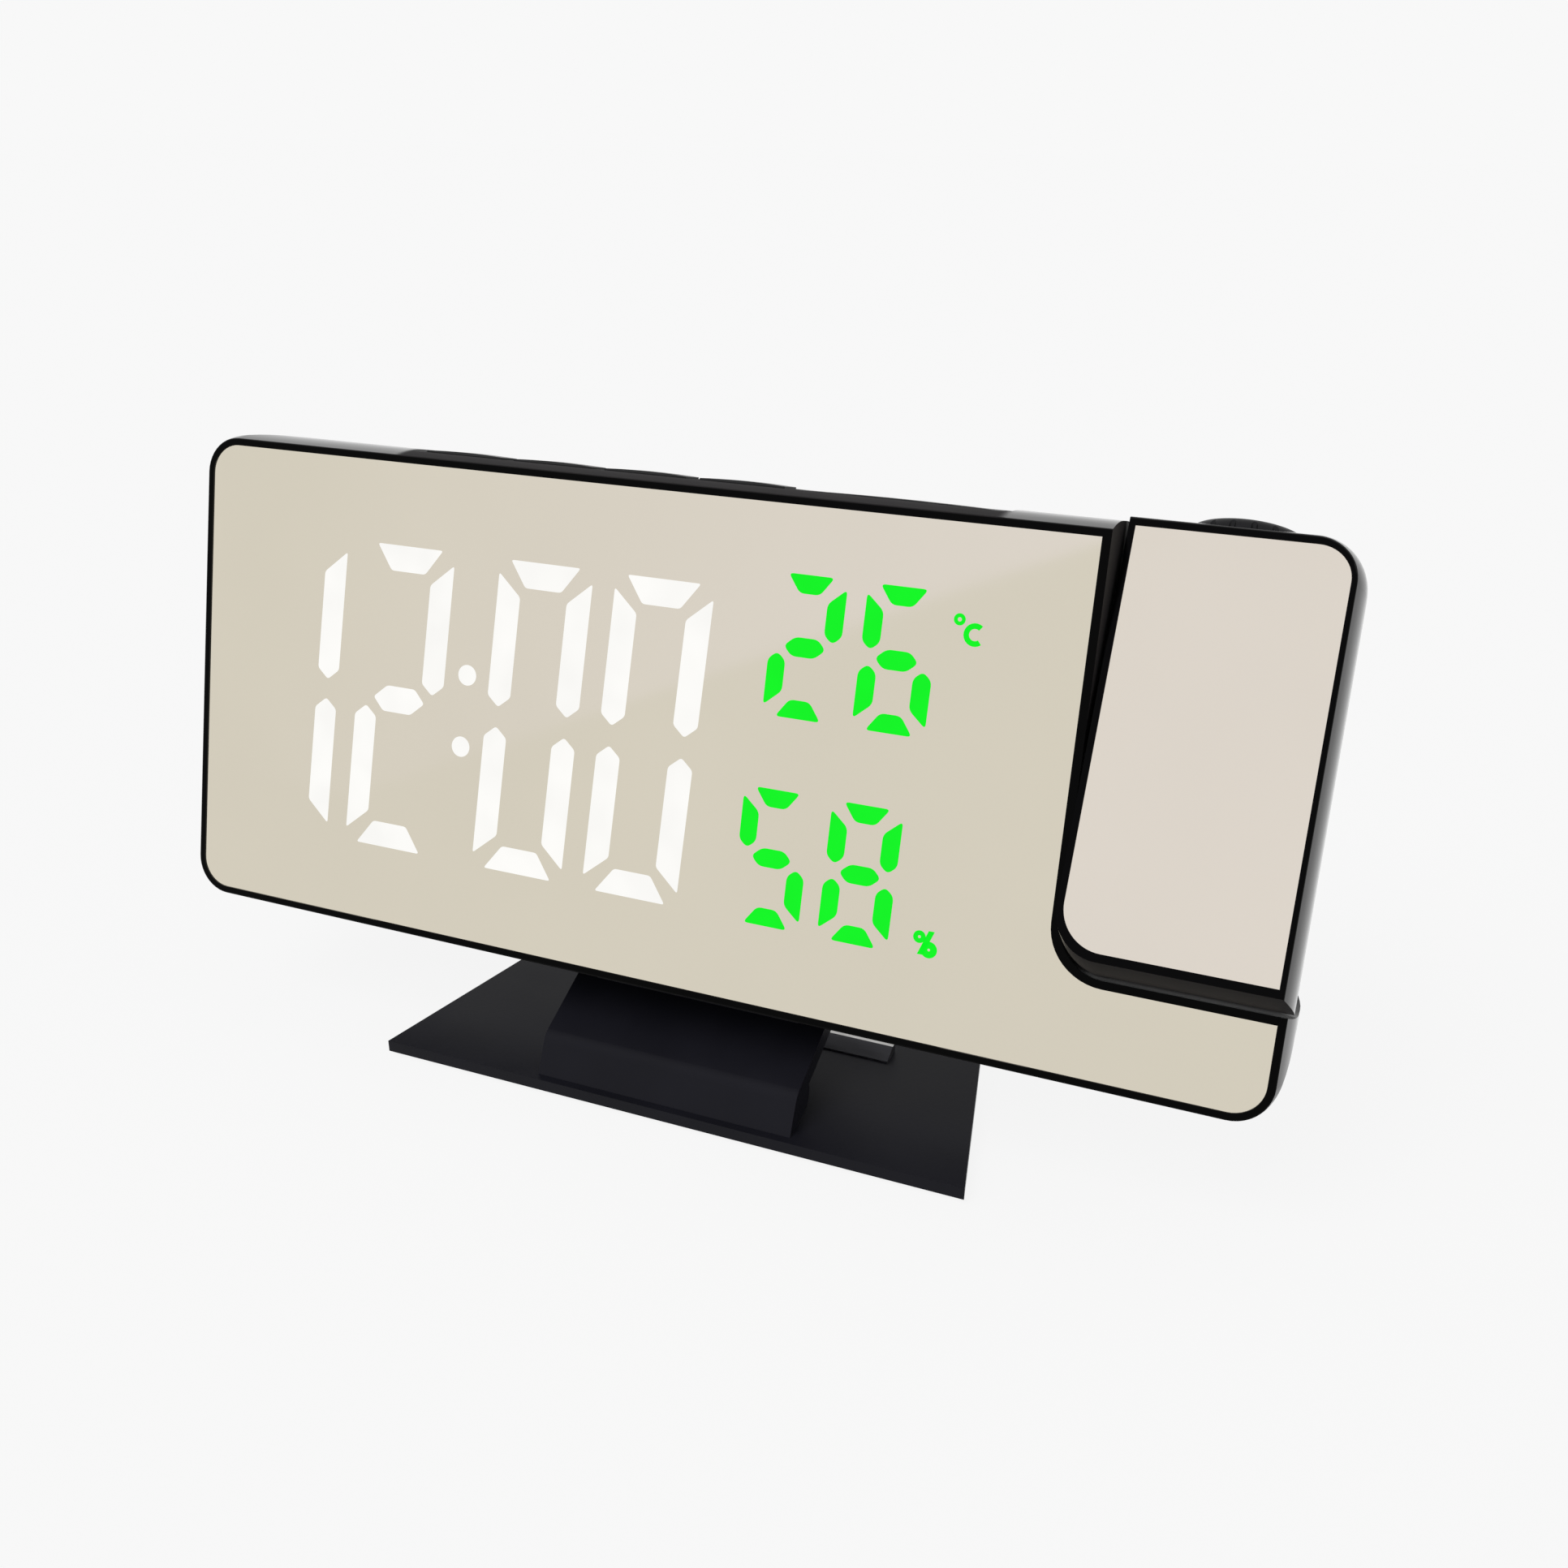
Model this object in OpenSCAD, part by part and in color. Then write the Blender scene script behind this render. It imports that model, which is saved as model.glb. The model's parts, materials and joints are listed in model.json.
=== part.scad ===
// Projection alarm clock: a wide mirror-faced display on a wedge stand, with a projector arm
// that turns on a hollow hub in the right-hand end of the body.
// Millimetres. X runs along the clock, Y runs back, Z is up, and z = 0 is the table.
// The clock body and the arm are drawn in their own frame, upright and flush, with the front
// face on y = 0 and the lower edge on z = 0, and are then leaned back and stood on the stand.

/* [Clock body] */
// Width of the front outline
front_w = 182.2; // [176:0.2:190]
// Height of the front outline, up the leaning face
front_h = 77.8; // [76:0.2:82]
// Corner radius of the front outline
corner_r = 6; // [5.8:0.1:7]
// Corner radius of the body behind the rim
rear_corner_r = 13; // [12:0.5:14]
// How far the sides flare outwards behind the rim
flare = 1; // [0.8:0.1:1.4]
// Depth over which the sides flare
flare_d = 7; // [6:0.5:8]
// Depth of the front frame, to the parting plane
frame_d = 10; // [10:0.1:10.4]
// Depth of the whole body
body_d = 24; // [23.5:0.5:26]
// Width of the black rim round the mirror
rim = 1.25; // [1:0.05:1.6]
// Wall thickness of the mouldings
wall = 1.8; // [1.6:0.1:2]

/* [Attitude] */
// Height of the whole clock above the table
total_h = 97; // [94:0.5:100]
// Lean of the face, top backwards
lean = 14; // [12:1:16]
// Turn of the projector arm from flush, top backwards
arm_tilt = 17.7; // [0:0.1:40]

/* [Projector arm] */
// Left wall of the recess that the arm turns in
recess_x = 59.2; // [58.5:0.1:60]
// Gap between the arm and the walls of its recess
arm_gap = 0.6; // [0.5:0.1:0.8]
// Depth of the pivot behind the front face
pivot_y = 10.2; // [10:0.1:10.4]
// Height of the pivot up the face
pivot_z = 50.5; // [50:0.1:51]
// Radius of the hollow drum that the arm's lower end turns in
drum_r = 35.9; // [35.5:0.1:36]
// Depth of the arm
arm_d = 22; // [21.5:0.5:23]
// Diameter of the pivot shaft
shaft_d = 9; // [8:0.2:9.4]
// Diameter of the focus ring
ring_d = 16.8; // [16.4:0.1:17]
// Height of the focus ring above the arm's end
ring_h = 0.9; // [0.7:0.1:1.2]
// Outside diameter of the lens barrel
barrel_d = 11; // [10.6:0.1:11.2]

/* [Keys] */
// Width of a short key
key_w = 13.8; // [13:0.2:14.4]
// Spacing of the short keys
key_pitch = 16; // [15.6:0.2:16.4]
// Centre of the first short key
key_first_x = -44.8; // [-48:0.2:-44.4]
// Width of the snooze bar
snooze_w = 30; // [28:1:31]
// Travel of a key
key_travel = 0.6; // [0.4:0.1:0.8]

/* [Display] */
// Height of a clock digit
clock_digit_h = 49.8; // [48:0.2:51]
// Width of a clock digit
clock_digit_w = 17.2; // [16:0.2:18]
// Height of a temperature or humidity digit
small_digit_h = 21.4; // [20:0.2:22]
// Width of a temperature or humidity digit
small_digit_w = 11; // [10:0.2:11.6]

/* [Stand] */
// Width of the foot along its front edge
foot_front_w = 101; // [96:1:106]
// Width of the foot along its back edge
foot_back_w = 79; // [74:1:84]
// Front edge of the foot, before the face's lower edge
foot_front_y = -4.5; // [-6:0.5:-4.4]
// Back edge of the foot
foot_back_y = 46.8; // [46.8:0.2:50]
// Width of the neck
neck_w = 44.4; // [40:0.4:50]
// Slope of the neck's upper face
neck_slope = 24; // [22:1:26]

/* [Hidden] */

$fn = 72;
eps = 0.01;
far = 120;                        // longer than anything that a cut has to clear

// keys
key_y = [4.8, 9.3];
key_depth = key_y[1] - key_y[0];
key_mid_y = (key_y[0] + key_y[1]) / 2;
channel_d = 0.3;                  // depth of the channel that the keys stand in
channel_z = front_h + flare - channel_d;
key_rise = 0.5;                   // height above the channel's floor
key_crown = 0.2;                  // fall of a key's top from its middle to its ends
key_edge = 0.35;
snooze_rise = 0.2;
key_gap = 0.3;
key_flange = 0.6;                 // how far a key's flange reaches past its sides
key_board_z = 70.2;
key_board_t = 0.8;
switch_h = 1.6;
snooze_gap = 2.1;                 // gap between the last short key and the snooze bar
snooze_x = key_first_x + 3 * key_pitch + key_w / 2 + snooze_gap + snooze_w / 2;
key_board_x = [key_first_x - key_w / 2 - 5, snooze_x + snooze_w / 2 + 4];

// sides: an arc behind the rim, from the outline to the flare, and a longer one to the back
front_edge_r = 0.45;
front_side_r = (pow(flare_d - front_edge_r, 2) + pow(flare, 2)) / (2 * flare);
back_edge_r = 3;
back_run = body_d - frame_d;
rear_inset = 1.8;                 // how far the side lies inside the front outline, near the back
back_side_r = (pow(back_run - back_edge_r, 2) + pow(flare + rear_inset, 2))
    / (2 * (flare + rear_inset));

// attitude: the arc along the top edge stands highest
lift = total_h - front_side_r - (front_h + flare - front_side_r) * cos(lean)
    + flare_d * sin(lean);
middle_y = (foot_front_y + foot_back_y) / 2;

// body depths
mirror_y = 0.15;
mirror_t = 1.5;
mirror_back = mirror_y + mirror_t;
lip_w = 2.4;                      // the ledge that the mirror's edge is glued to
lip_back = 3.2;
diffuser_t = 0.3;
reflector_y = mirror_back + diffuser_t;
reflector_t = 6.5;
board_y = reflector_y + reflector_t;
board_t = 1.6;
board_back = board_y + board_t;
back_wall_y = body_d - 2;

// outline of the display module
module_x0 = -82.5;
module_x1 = 45;
module_z0 = 10.5;
module_z1 = 67;

// screws: four through the rear cover, two through the arm
screw_d = 2.3;
screw_head_d = 4.4;
screw_head_h = 1.6;
boss_d = 6;
body_screw_y = frame_d + 2;       // seat of the screw heads, deep in the rear cover's bosses
body_screw_xz = [[-82.5, 7], [-82.5, front_h - 7.3], [52.6, front_h - 6.6], [82.5, 7.3]];

// recess and arm
recess_corner = 7;
arm_x0 = recess_x + arm_gap;
arm_x1 = 90.6;
arm_flare = 1.2;
arm_front_side_r = (pow(flare_d - front_edge_r, 2) + pow(arm_flare, 2)) / (2 * arm_flare);
arm_r = drum_r - arm_gap;
arm_corner = recess_corner - arm_gap;
arm_wall = 1.6;
arm_parting = 9;
arm_back_x = 90;                  // right-hand edge of the arm, near its back
arm_back_run = arm_d - arm_parting;
arm_back_side_r = (pow(arm_back_run - back_edge_r, 2) + pow(arm_x1 + arm_flare - arm_back_x, 2))
    / (2 * (arm_x1 + arm_flare - arm_back_x));
arm_left_r = 2;                   // rounding of its left-hand back edge
arm_top = front_h + arm_flare;
arm_end_z = front_h - 2.6;        // inside of the arm's end wall
arm_mirror_x = [60.7, 89.7];
arm_mirror_z = [17.9, front_h - rim];
arm_screw_xz = [[64, 71.5], [87, 24]];
arm_screw_y = arm_parting + 2.5;
arm_boss_d = 5.8;

// hub
running_fit = 0.05;
bush_d = 13.6;
bush_x0 = 48;
bush_x1 = recess_x - wall;
washer_t = 0.7;
circlip_t = 0.7;
circlip_d = 11.6;
groove_d = shaft_d - 1;
circlip_x0 = bush_x0 - washer_t - circlip_t - 0.1;
shaft_x0 = circlip_x0 - 0.5;
flange_x0 = arm_x0 + arm_wall;
flange_t = 1.6;
flange_d = 15;
wire_bore = 5;
bush_plate = [2, 16, 18];         // the flange of the bush, against the recess wall
saddle_t = 2;

// projector optics, on an axis up the middle of the arm
optic_x = 74.7;
optic_y = 10.4;
tube_bore = barrel_d + 2 * running_fit;
tube_d = barrel_d + 1.6;
tube_z0 = 27;
tube_z1 = front_h - arm_wall;
tube_rib_z = [30, 60];
barrel_z0 = 57;
barrel_l = 15;
lens_d = 9;
lens_z = barrel_z0 + barrel_l - 4;
slide_z = 43;
lamp_t = 1.4;
focus_travel = 1.8;               // how far the barrel moves along the tube
pin_d = 1.4;
pin_z = 68.5;                     // the barrel's two pins, which the ring's cam groove drives
pin_reach = tube_d / 2 + 0.3;
skirt_d = tube_d + 2;             // the ring's sleeve, round the tube
skirt_z0 = 65.4;
ring_seat_z = front_h + 0.2;      // floor of the round seat in the arm's end
ring_z0 = ring_seat_z + 0.15;
ring_hole_d = skirt_d + 0.4;

// sockets and the parts behind the back wall
usb_xz = [-58, 16];
usb_size = [13.1, 5.7];
power_xz = [-36, 16];
power_size = [9, 3.4];
buzzer_xz = [-62, 48];
buzzer_d = 12;
sensor_xz = [34, 15];
cell_xz = [8, 40];
cell_d = 20;
cell_t = 3.2;
door_d = 25;
door_t = 1.6;
cell_y = back_wall_y - cell_t;
cell_floor = 1.4;                 // wall behind the coin cell
clip_size = [12, 0.5, 4];

// stand
pad_stand = 0.75;                 // how far the rubber pads stand below the foot
foot_top = 2.75;
neck_t = 3;
neck_y = -1;
neck_bend_z = 6.35;
neck_front_slope = 26;            // how far the neck's front leans back from upright
tongue_w = 32;
tongue_y = [14.5, 20.5];
bar_w = 59;
bar_y = [21.6, 24.3, 25.5];       // front, front of the level top, and back
bar_z = [0.3, 1.6];               // heights of its front and its top above the foot
bar_sunk = 0.8;
pad_d = 8;
pad_t = 1.3;

black = [0.055, 0.055, 0.06];
satin_black = [0.09, 0.09, 0.1];
champagne = [0.82, 0.78, 0.71];
steel = [0.72, 0.73, 0.75];
board_green = [0.07, 0.3, 0.16];
milk = [0.92, 0.92, 0.9];
glass = [0.75, 0.85, 0.9];

// ---------- frames ----------

// stands the upright clock on the table, leaning back
module leaned() {
    translate([0, -middle_y, lift]) rotate([-lean, 0, 0]) children();
}

// turns the flush arm about its pivot, then leans it with the body
module swung() {
    leaned() translate([0, pivot_y, pivot_z]) rotate([-arm_tilt, 0, 0])
        translate([0, -pivot_y, -pivot_z]) children();
}

// carries an outline drawn in X and Z back along Y
module depthwise(y, depth) {
    translate([0, y + depth, 0]) rotate([90, 0, 0]) linear_extrude(depth) children();
}

// carries an outline drawn in Y and Z along X
module crosswise(x, width) {
    translate([x, 0, 0]) rotate([90, 0, 90]) linear_extrude(width) children();
}

module rod_y(x, z, y0, y1, d) {
    translate([x, y0, z]) rotate([-90, 0, 0]) cylinder(h = y1 - y0, d = d);
}

// a rod on the pivot axis
module rod_x(x0, x1, d) {
    translate([x0, pivot_y, pivot_z]) rotate([0, 90, 0]) cylinder(h = x1 - x0, d = d);
}

// a rod on the optical axis
module rod_z(z0, z1, d) {
    translate([optic_x, optic_y, z0]) cylinder(h = z1 - z0, d = d);
}

// ---------- shared forms ----------

// the outline with corner radius r, grown by g1 at depth y1 and g2 at depth y2, with true
// conical corners
module outline_block(y1, y2, g1, g2, r = rear_corner_r) {
    depth = y2 - y1;
    half_x = front_w / 2 - r;
    half_z = front_h / 2 - r;
    translate([0, y1, front_h / 2]) {
        for (sx = [-1, 1], sz = [-1, 1])
            translate([sx * half_x, 0, sz * half_z]) rotate([-90, 0, 0])
                cylinder(h = depth, r1 = r + g1, r2 = r + g2);
        translate([0, 0, -half_z]) linear_extrude(2 * half_z)
            polygon([[-half_x - r - g1, 0], [half_x + r + g1, 0], [half_x + r + g2, depth],
                [-half_x - r - g2, depth]]);
        crosswise(-half_x, 2 * half_x)
            polygon([[0, -half_z - r - g1], [depth, -half_z - r - g2],
                [depth, half_z + r + g2], [0, half_z + r + g1]]);
    }
}

// section of a curved side, widest at y = 0: an arc of radius side_r closes in towards the end
// face at y = run, where an arc of about edge_r rounds the edge; the solid lies at x < 0
module side_section(run, side_r, edge_r) {
    edge = [sqrt(pow(side_r - edge_r, 2) - pow(run - edge_r, 2)) - side_r, run - edge_r];
    outwards = (edge + [side_r, 0]) / (side_r - edge_r);
    difference() {
        union() {
            intersection() {
                translate([-side_r, 0]) circle(r = side_r, $fn = 144);
                translate([edge[0] - edge_r, 0]) square([side_r, run]);
            }
            translate([-far, 0]) square([far + edge[0] - edge_r, run]);
        }
        difference() {
            polygon([edge, edge + [0, 2 * edge_r], edge + 2 * edge_r * outwards]);
            translate(edge) circle(r = edge_r + eps);
        }
    }
}

// section of a body whose side is flared by grow at flare_d, up to a parting at depth y
module front_section(grow, side_r, y) {
    translate([grow, flare_d]) mirror([0, 1]) side_section(flare_d, side_r, front_edge_r);
    translate([grow - far, flare_d]) square([far, y - flare_d]);
}

// carries a section round the upper right corner, of radius r, of an outline that is w wide,
// and on along the straight top for run_x and down the straight side for run_z
module swept_corner(w, r, run_x, run_z) {
    half_x = w / 2 - r;
    translate([half_x, 0, front_h - r]) {
        rotate([90, 0, 0]) mirror([0, 0, 1]) rotate_extrude(angle = 90) intersection() {
            translate([r, 0]) children();
            square(far);
        }
        translate([-half_x, 0, -run_z]) linear_extrude(run_z) intersection() {
            translate([w / 2, 0]) children();
            square(far);
        }
        crosswise(-run_x, run_x) intersection() {
            translate([0, r]) mirror([1, -1]) children();
            square(far);
        }
    }
}

// carries a section all round the outline with corner radius r
module swept(r) {
    translate([0, 0, front_h / 2]) for (sx = [0, 1], sz = [0, 1])
        mirror([sx, 0, 0]) mirror([0, 0, sz]) translate([0, 0, -front_h / 2])
            swept_corner(front_w, r, front_w / 2 - r, front_h / 2 - r) children();
}

// the rim's small corners run out into the body's larger ones behind them
module frame_form() {
    loose = 0.05;                 // keeps the corner cones clear of the straight sides
    corner_gain = (rear_corner_r - corner_r) * (sqrt(2) - 1);
    intersection() {
        swept(corner_r) front_section(flare, front_side_r, frame_d);
        union() {
            outline_block(-eps, flare_d, corner_gain + loose, flare + loose);
            outline_block(flare_d, frame_d + eps, flare + loose, flare + loose);
        }
    }
}

module cover_form() {
    swept(rear_corner_r) translate([flare, frame_d])
        side_section(back_run, back_side_r, back_edge_r);
}

// the hollow of the front frame, between the lip and the parting
module frame_hollow() {
    outline_block(lip_back, flare_d, lip_back * flare / flare_d - wall, flare - wall);
    outline_block(flare_d, frame_d + eps, flare - wall, flare - wall);
}

// the shallow channel along the top edge that the keys stand in
module key_channel() {
    x = [key_first_x - key_w / 2 - 2, snooze_x + snooze_w / 2 + 2];
    end = 2 * channel_d;
    depthwise(2, far) polygon([[x[0], channel_z], [x[1], channel_z],
        [x[1] + end, channel_z + end], [x[0] - end, channel_z + end]]);
}

// the space that the arm turns in, left of x0 and outside radius r left solid: a drum about
// the pivot with a rounded inner corner, open above
module swing_space(x0, r, corner) {
    translate([x0, pivot_y, pivot_z]) {
        rotate([0, 90, 0]) rotate_extrude() {
            square([r - corner, far - x0]);
            translate([0, corner]) square([r, far - x0 - corner]);
            translate([r - corner, corner]) circle(r = corner);
        }
        translate([0, -pivot_y - 1, 0]) cube([far - x0, body_d + 4, far]);
    }
}

module recess(grow = 0) {
    swing_space(recess_x - grow, drum_r + grow, recess_corner + grow);
}

// the corner region above and right of (x0, z0), with that corner rounded
module rounded_quadrant(x0, z0, r) {
    translate([x0 + r, z0]) square(far);
    translate([x0, z0 + r]) square(far);
    translate([x0 + r, z0 + r]) circle(r = r);
}

// the front outline shrunk by inset, less the arm's recess
module face_outline(inset) {
    half_x = front_w / 2 - corner_r;
    half_z = front_h / 2 - corner_r;
    r = corner_r - inset;
    lip_z = pivot_z - sqrt(pow(drum_r, 2) - pow(pivot_y, 2));
    difference() {
        translate([0, front_h / 2]) {
            square([2 * half_x, 2 * (half_z + r)], center = true);
            square([2 * (half_x + r), 2 * half_z], center = true);
            for (sx = [-1, 1], sz = [-1, 1]) translate([sx * half_x, sz * half_z]) circle(r = r);
        }
        rounded_quadrant(recess_x - inset, lip_z - inset, recess_corner + inset);
    }
}

// ---------- seven-segment outlines ----------

// one upright stroke from z0 to z1, with its outer end cut at a slant and its inner end pointed
module stroke(x0, w, z0, z1, slant, outer_low) {
    tip = w * 0.42;
    // slant is +1 where the outer point lies on the right and -1 where it lies on the left
    point_x = slant > 0 ? x0 + w : x0;
    back_x = slant > 0 ? x0 : x0 + w;
    outer_z = outer_low ? z0 : z1;
    inner_z = outer_low ? z1 : z0;
    side = outer_low ? 1 : -1;
    polygon([[point_x, outer_z], [back_x, outer_z + side * w * 0.9],
        [back_x, inner_z - side * tip], [x0 + w / 2, inner_z], [point_x, inner_z - side * tip]]);
}

// the strokes of one digit, its lower left corner at the origin
module digit_strokes(w, h, strokes) {
    s = w * 0.26;
    gap = w * 0.06;
    mid = h / 2;
    bar_h = s * 0.88;
    for (k = strokes) {
        if (k == "top") polygon([[s * 0.8, h], [w - s * 0.8, h], [w - s * 1.6, h - bar_h],
            [s * 1.6, h - bar_h]]);
        if (k == "bottom") polygon([[s * 0.5, 0], [w - s * 0.8, 0], [w - s * 1.6, bar_h],
            [s * 1.5, bar_h]]);
        if (k == "middle") polygon([[s * 0.8, mid], [s * 1.5, mid + bar_h / 2],
            [w - s * 1.5, mid + bar_h / 2], [w - s * 0.8, mid], [w - s * 1.5, mid - bar_h / 2],
            [s * 1.5, mid - bar_h / 2]]);
        if (k == "upper_left") stroke(0, s, mid + gap * 1.5, h - s * 0.45, -1, false);
        if (k == "upper_right") stroke(w - s, s, mid + gap * 1.5, h - s * 0.45, 1, false);
        if (k == "lower_left") stroke(0, s, s * 0.6, mid - gap * 1.2, -1, true);
        if (k == "lower_right") stroke(w - s, s, s * 0.6, mid - gap * 1.2, 1, true);
    }
}

all_strokes = ["top", "middle", "bottom", "upper_left", "upper_right", "lower_left",
    "lower_right"];
clock_digit_x = [-80.4, -60.4, -35.4, -15.4];
clock_digit_z = 13.8;
small_digit_x = [11.4, 25.6];
small_digit_z = [13.8, 45.4];
colon_x = -39.3;
colon_z = [32.9, 44.6];
colon_d = 3;
unit_x = [39, 38.6];
unit_z = [59.6, 14];
unit_size = [4.4, 4.2];

// every opening that light comes through
module display_wells() {
    for (x = clock_digit_x) translate([x, clock_digit_z])
        digit_strokes(clock_digit_w, clock_digit_h, all_strokes);
    for (x = small_digit_x, z = small_digit_z) translate([x, z])
        digit_strokes(small_digit_w, small_digit_h, all_strokes);
    for (z = colon_z) translate([colon_x, z]) circle(d = colon_d);
    for (i = [0, 1]) translate([unit_x[i], unit_z[i]]) square(unit_size);
}

// ---------- body ----------

module mirror_panel() {
    color(champagne) leaned() depthwise(mirror_y, mirror_t) face_outline(rim);
}

module front_frame() {
    color(black) leaned() {
        difference() {
            frame_form();
            recess();
            key_channel();
            depthwise(-1, 1 + mirror_back) face_outline(rim);
            depthwise(0, lip_back + eps) face_outline(rim + lip_w);
            difference() {
                frame_hollow();
                recess(wall);
            }
            for (i = [0:3]) key_slot(key_first_x + i * key_pitch, key_w);
            key_slot(snooze_x, snooze_w);
            rod_x(recess_x - wall - 1, recess_x + 1, shaft_d + 1.4);
        }
        for (p = body_screw_xz) difference() {
            rod_y(p[0], p[1], lip_back - eps, frame_d, boss_d);
            rod_y(p[0], p[1], lip_back + 1, frame_d + 1, screw_d);
        }
        hub_saddle(lip_back, frame_d);
        key_shelf();
    }
}

// half of the saddle that the hub bush lies in, with webs to the recess wall
module hub_saddle(y0, y1) {
    half = bush_plate[2] / 2;
    difference() {
        translate([bush_x0 + 3, y0, pivot_z - half - wall])
            cube([saddle_t, y1 - y0, 2 * (half + wall)]);
        rod_x(bush_x0, bush_x1, bush_d);
    }
    for (z = [pivot_z - half - wall, pivot_z + half])
        translate([bush_x0 + 3, y0, z]) cube([bush_x1 - bush_x0 - 3 + eps, y1 - y0, wall]);
}

// the web and shelf behind the lip that carry the key board, with a stop at each end
module key_shelf() {
    web_y = mirror_back + 0.4;
    shelf_y = lip_back + 4;
    lip_z = front_h - rim - lip_w;
    crosswise(key_board_x[0] - wall, key_board_x[1] - key_board_x[0] + 2 * wall)
        polygon([[web_y, key_board_z - wall], [shelf_y, key_board_z - wall],
            [shelf_y, key_board_z], [lip_back, key_board_z], [lip_back, lip_z + eps],
            [web_y, lip_z + eps]]);
    for (x = [key_board_x[0] - wall, key_board_x[1]])
        translate([x, lip_back - eps, key_board_z - wall]) cube([wall, 4, wall + 2]);
}

module key_slot(x, w) {
    translate([x - w / 2 - key_gap, key_y[0] - key_gap, front_h - wall - 2])
        cube([w + 2 * key_gap, key_depth + 2 * key_gap, wall + 6]);
}

module diffuser_sheet() {
    color(milk) leaned() translate([module_x0, mirror_back, module_z0])
        cube([module_x1 - module_x0, diffuser_t, module_z1 - module_z0]);
}

module segment_reflector() {
    color(milk) leaned() difference() {
        translate([module_x0, reflector_y, module_z0])
            cube([module_x1 - module_x0, reflector_t, module_z1 - module_z0]);
        depthwise(reflector_y - 1, reflector_t + 2) display_wells();
    }
}

module display_board() {
    chip = [12, 1.8, 12];
    color(board_green) leaned() {
        translate([module_x0, board_y, module_z0])
            cube([module_x1 - module_x0, board_t, module_z1 - module_z0]);
        translate([-28, board_back, 30]) cube(chip);
        translate([-8, board_back, 20]) cube([6, 1.6, 4]);
        translate([30, board_back, 44]) cube([8, 2.2, 5]);
    }
}

module rear_cover() {
    color(satin_black) leaned() {
        difference() {
            cover_form();
            recess();
            key_channel();
            difference() {
                outline_block(frame_d - eps, back_wall_y, flare - wall, -rear_inset - 1.5 * wall);
                recess(wall);
                for (p = body_screw_xz) rod_y(p[0], p[1], frame_d - 1, body_d, boss_d + 1);
                // well round the coin cell
                rod_y(cell_xz[0], cell_xz[1], cell_y - cell_floor, body_d, door_d + 6);
            }
            rod_x(recess_x - wall - 1, recess_x + 1, shaft_d + 1.4);
            for (p = body_screw_xz) {
                rod_y(p[0], p[1], frame_d - 1, body_d, screw_d + 0.4);
                rod_y(p[0], p[1], body_screw_y, body_d + 1, screw_head_d + 0.8);
            }
            cell_well();
            socket_mouth(usb_xz, usb_size);
            socket_mouth(power_xz, power_size);
            sound_holes();
            sensor_vents();
            stand_tongue(0);
        }
        // posts that hold the display board against the reflector
        for (x = [-70, -6, 38], z = [60]) rod_y(x, z, board_back, back_wall_y + 1, 5);
        for (x = [-76, -14, 22]) rod_y(x, 16, board_back, back_wall_y + 1, 5);
        hub_saddle(frame_d, back_wall_y + eps);
    }
}

// the stepped well that the coin cell and its door sit in
module cell_well() {
    rod_y(cell_xz[0], cell_xz[1], cell_y, body_d + 1, cell_d + 0.4);
    rod_y(cell_xz[0], cell_xz[1], back_wall_y + 0.4, body_d + 1, door_d + 0.2);
    // window for the spring contact
    translate([cell_xz[0] - 4, cell_y - cell_floor - 1, cell_xz[1] - clip_size[2] / 2 - 0.5])
        cube([8, cell_floor + 2, clip_size[2] + 1]);
}

module socket_mouth(xz, size) {
    translate([xz[0] - size[0] / 2, back_wall_y - 1, xz[1] - size[1] / 2])
        cube([size[0], 4, size[1]]);
}

// seven round holes over the buzzer, one in the middle of six
module sound_holes() {
    translate([buzzer_xz[0], 0, buzzer_xz[1]]) {
        rod_y(0, 0, back_wall_y - 1, body_d + 1, 1.8);
        for (a = [0:60:300]) rod_y(3.6 * cos(a), 3.6 * sin(a), back_wall_y - 1, body_d + 1, 1.8);
    }
}

// slots that let the room's air reach the sensor
module sensor_vents() {
    for (i = [-2:2]) translate([sensor_xz[0] + i * 3 - 0.6, back_wall_y - 1, sensor_xz[1] - 5])
        cube([1.2, 4, 10]);
}

module body_screws() {
    color(steel) leaned() for (p = body_screw_xz) {
        rod_y(p[0], p[1], lip_back + 1.5, body_screw_y, screw_d);
        difference() {
            rod_y(p[0], p[1], body_screw_y, body_screw_y + screw_head_h, screw_head_d);
            cross_recess(p[0], body_screw_y + screw_head_h, p[1]);
        }
    }
}

// a cross-shaped driver recess cut from the back
module cross_recess(x, y, z) {
    for (a = [0, 90]) translate([x, y, z]) rotate([0, a, 0])
        cube([2.4, 1.8, 0.6], center = true);
}

// ---------- keys ----------

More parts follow.
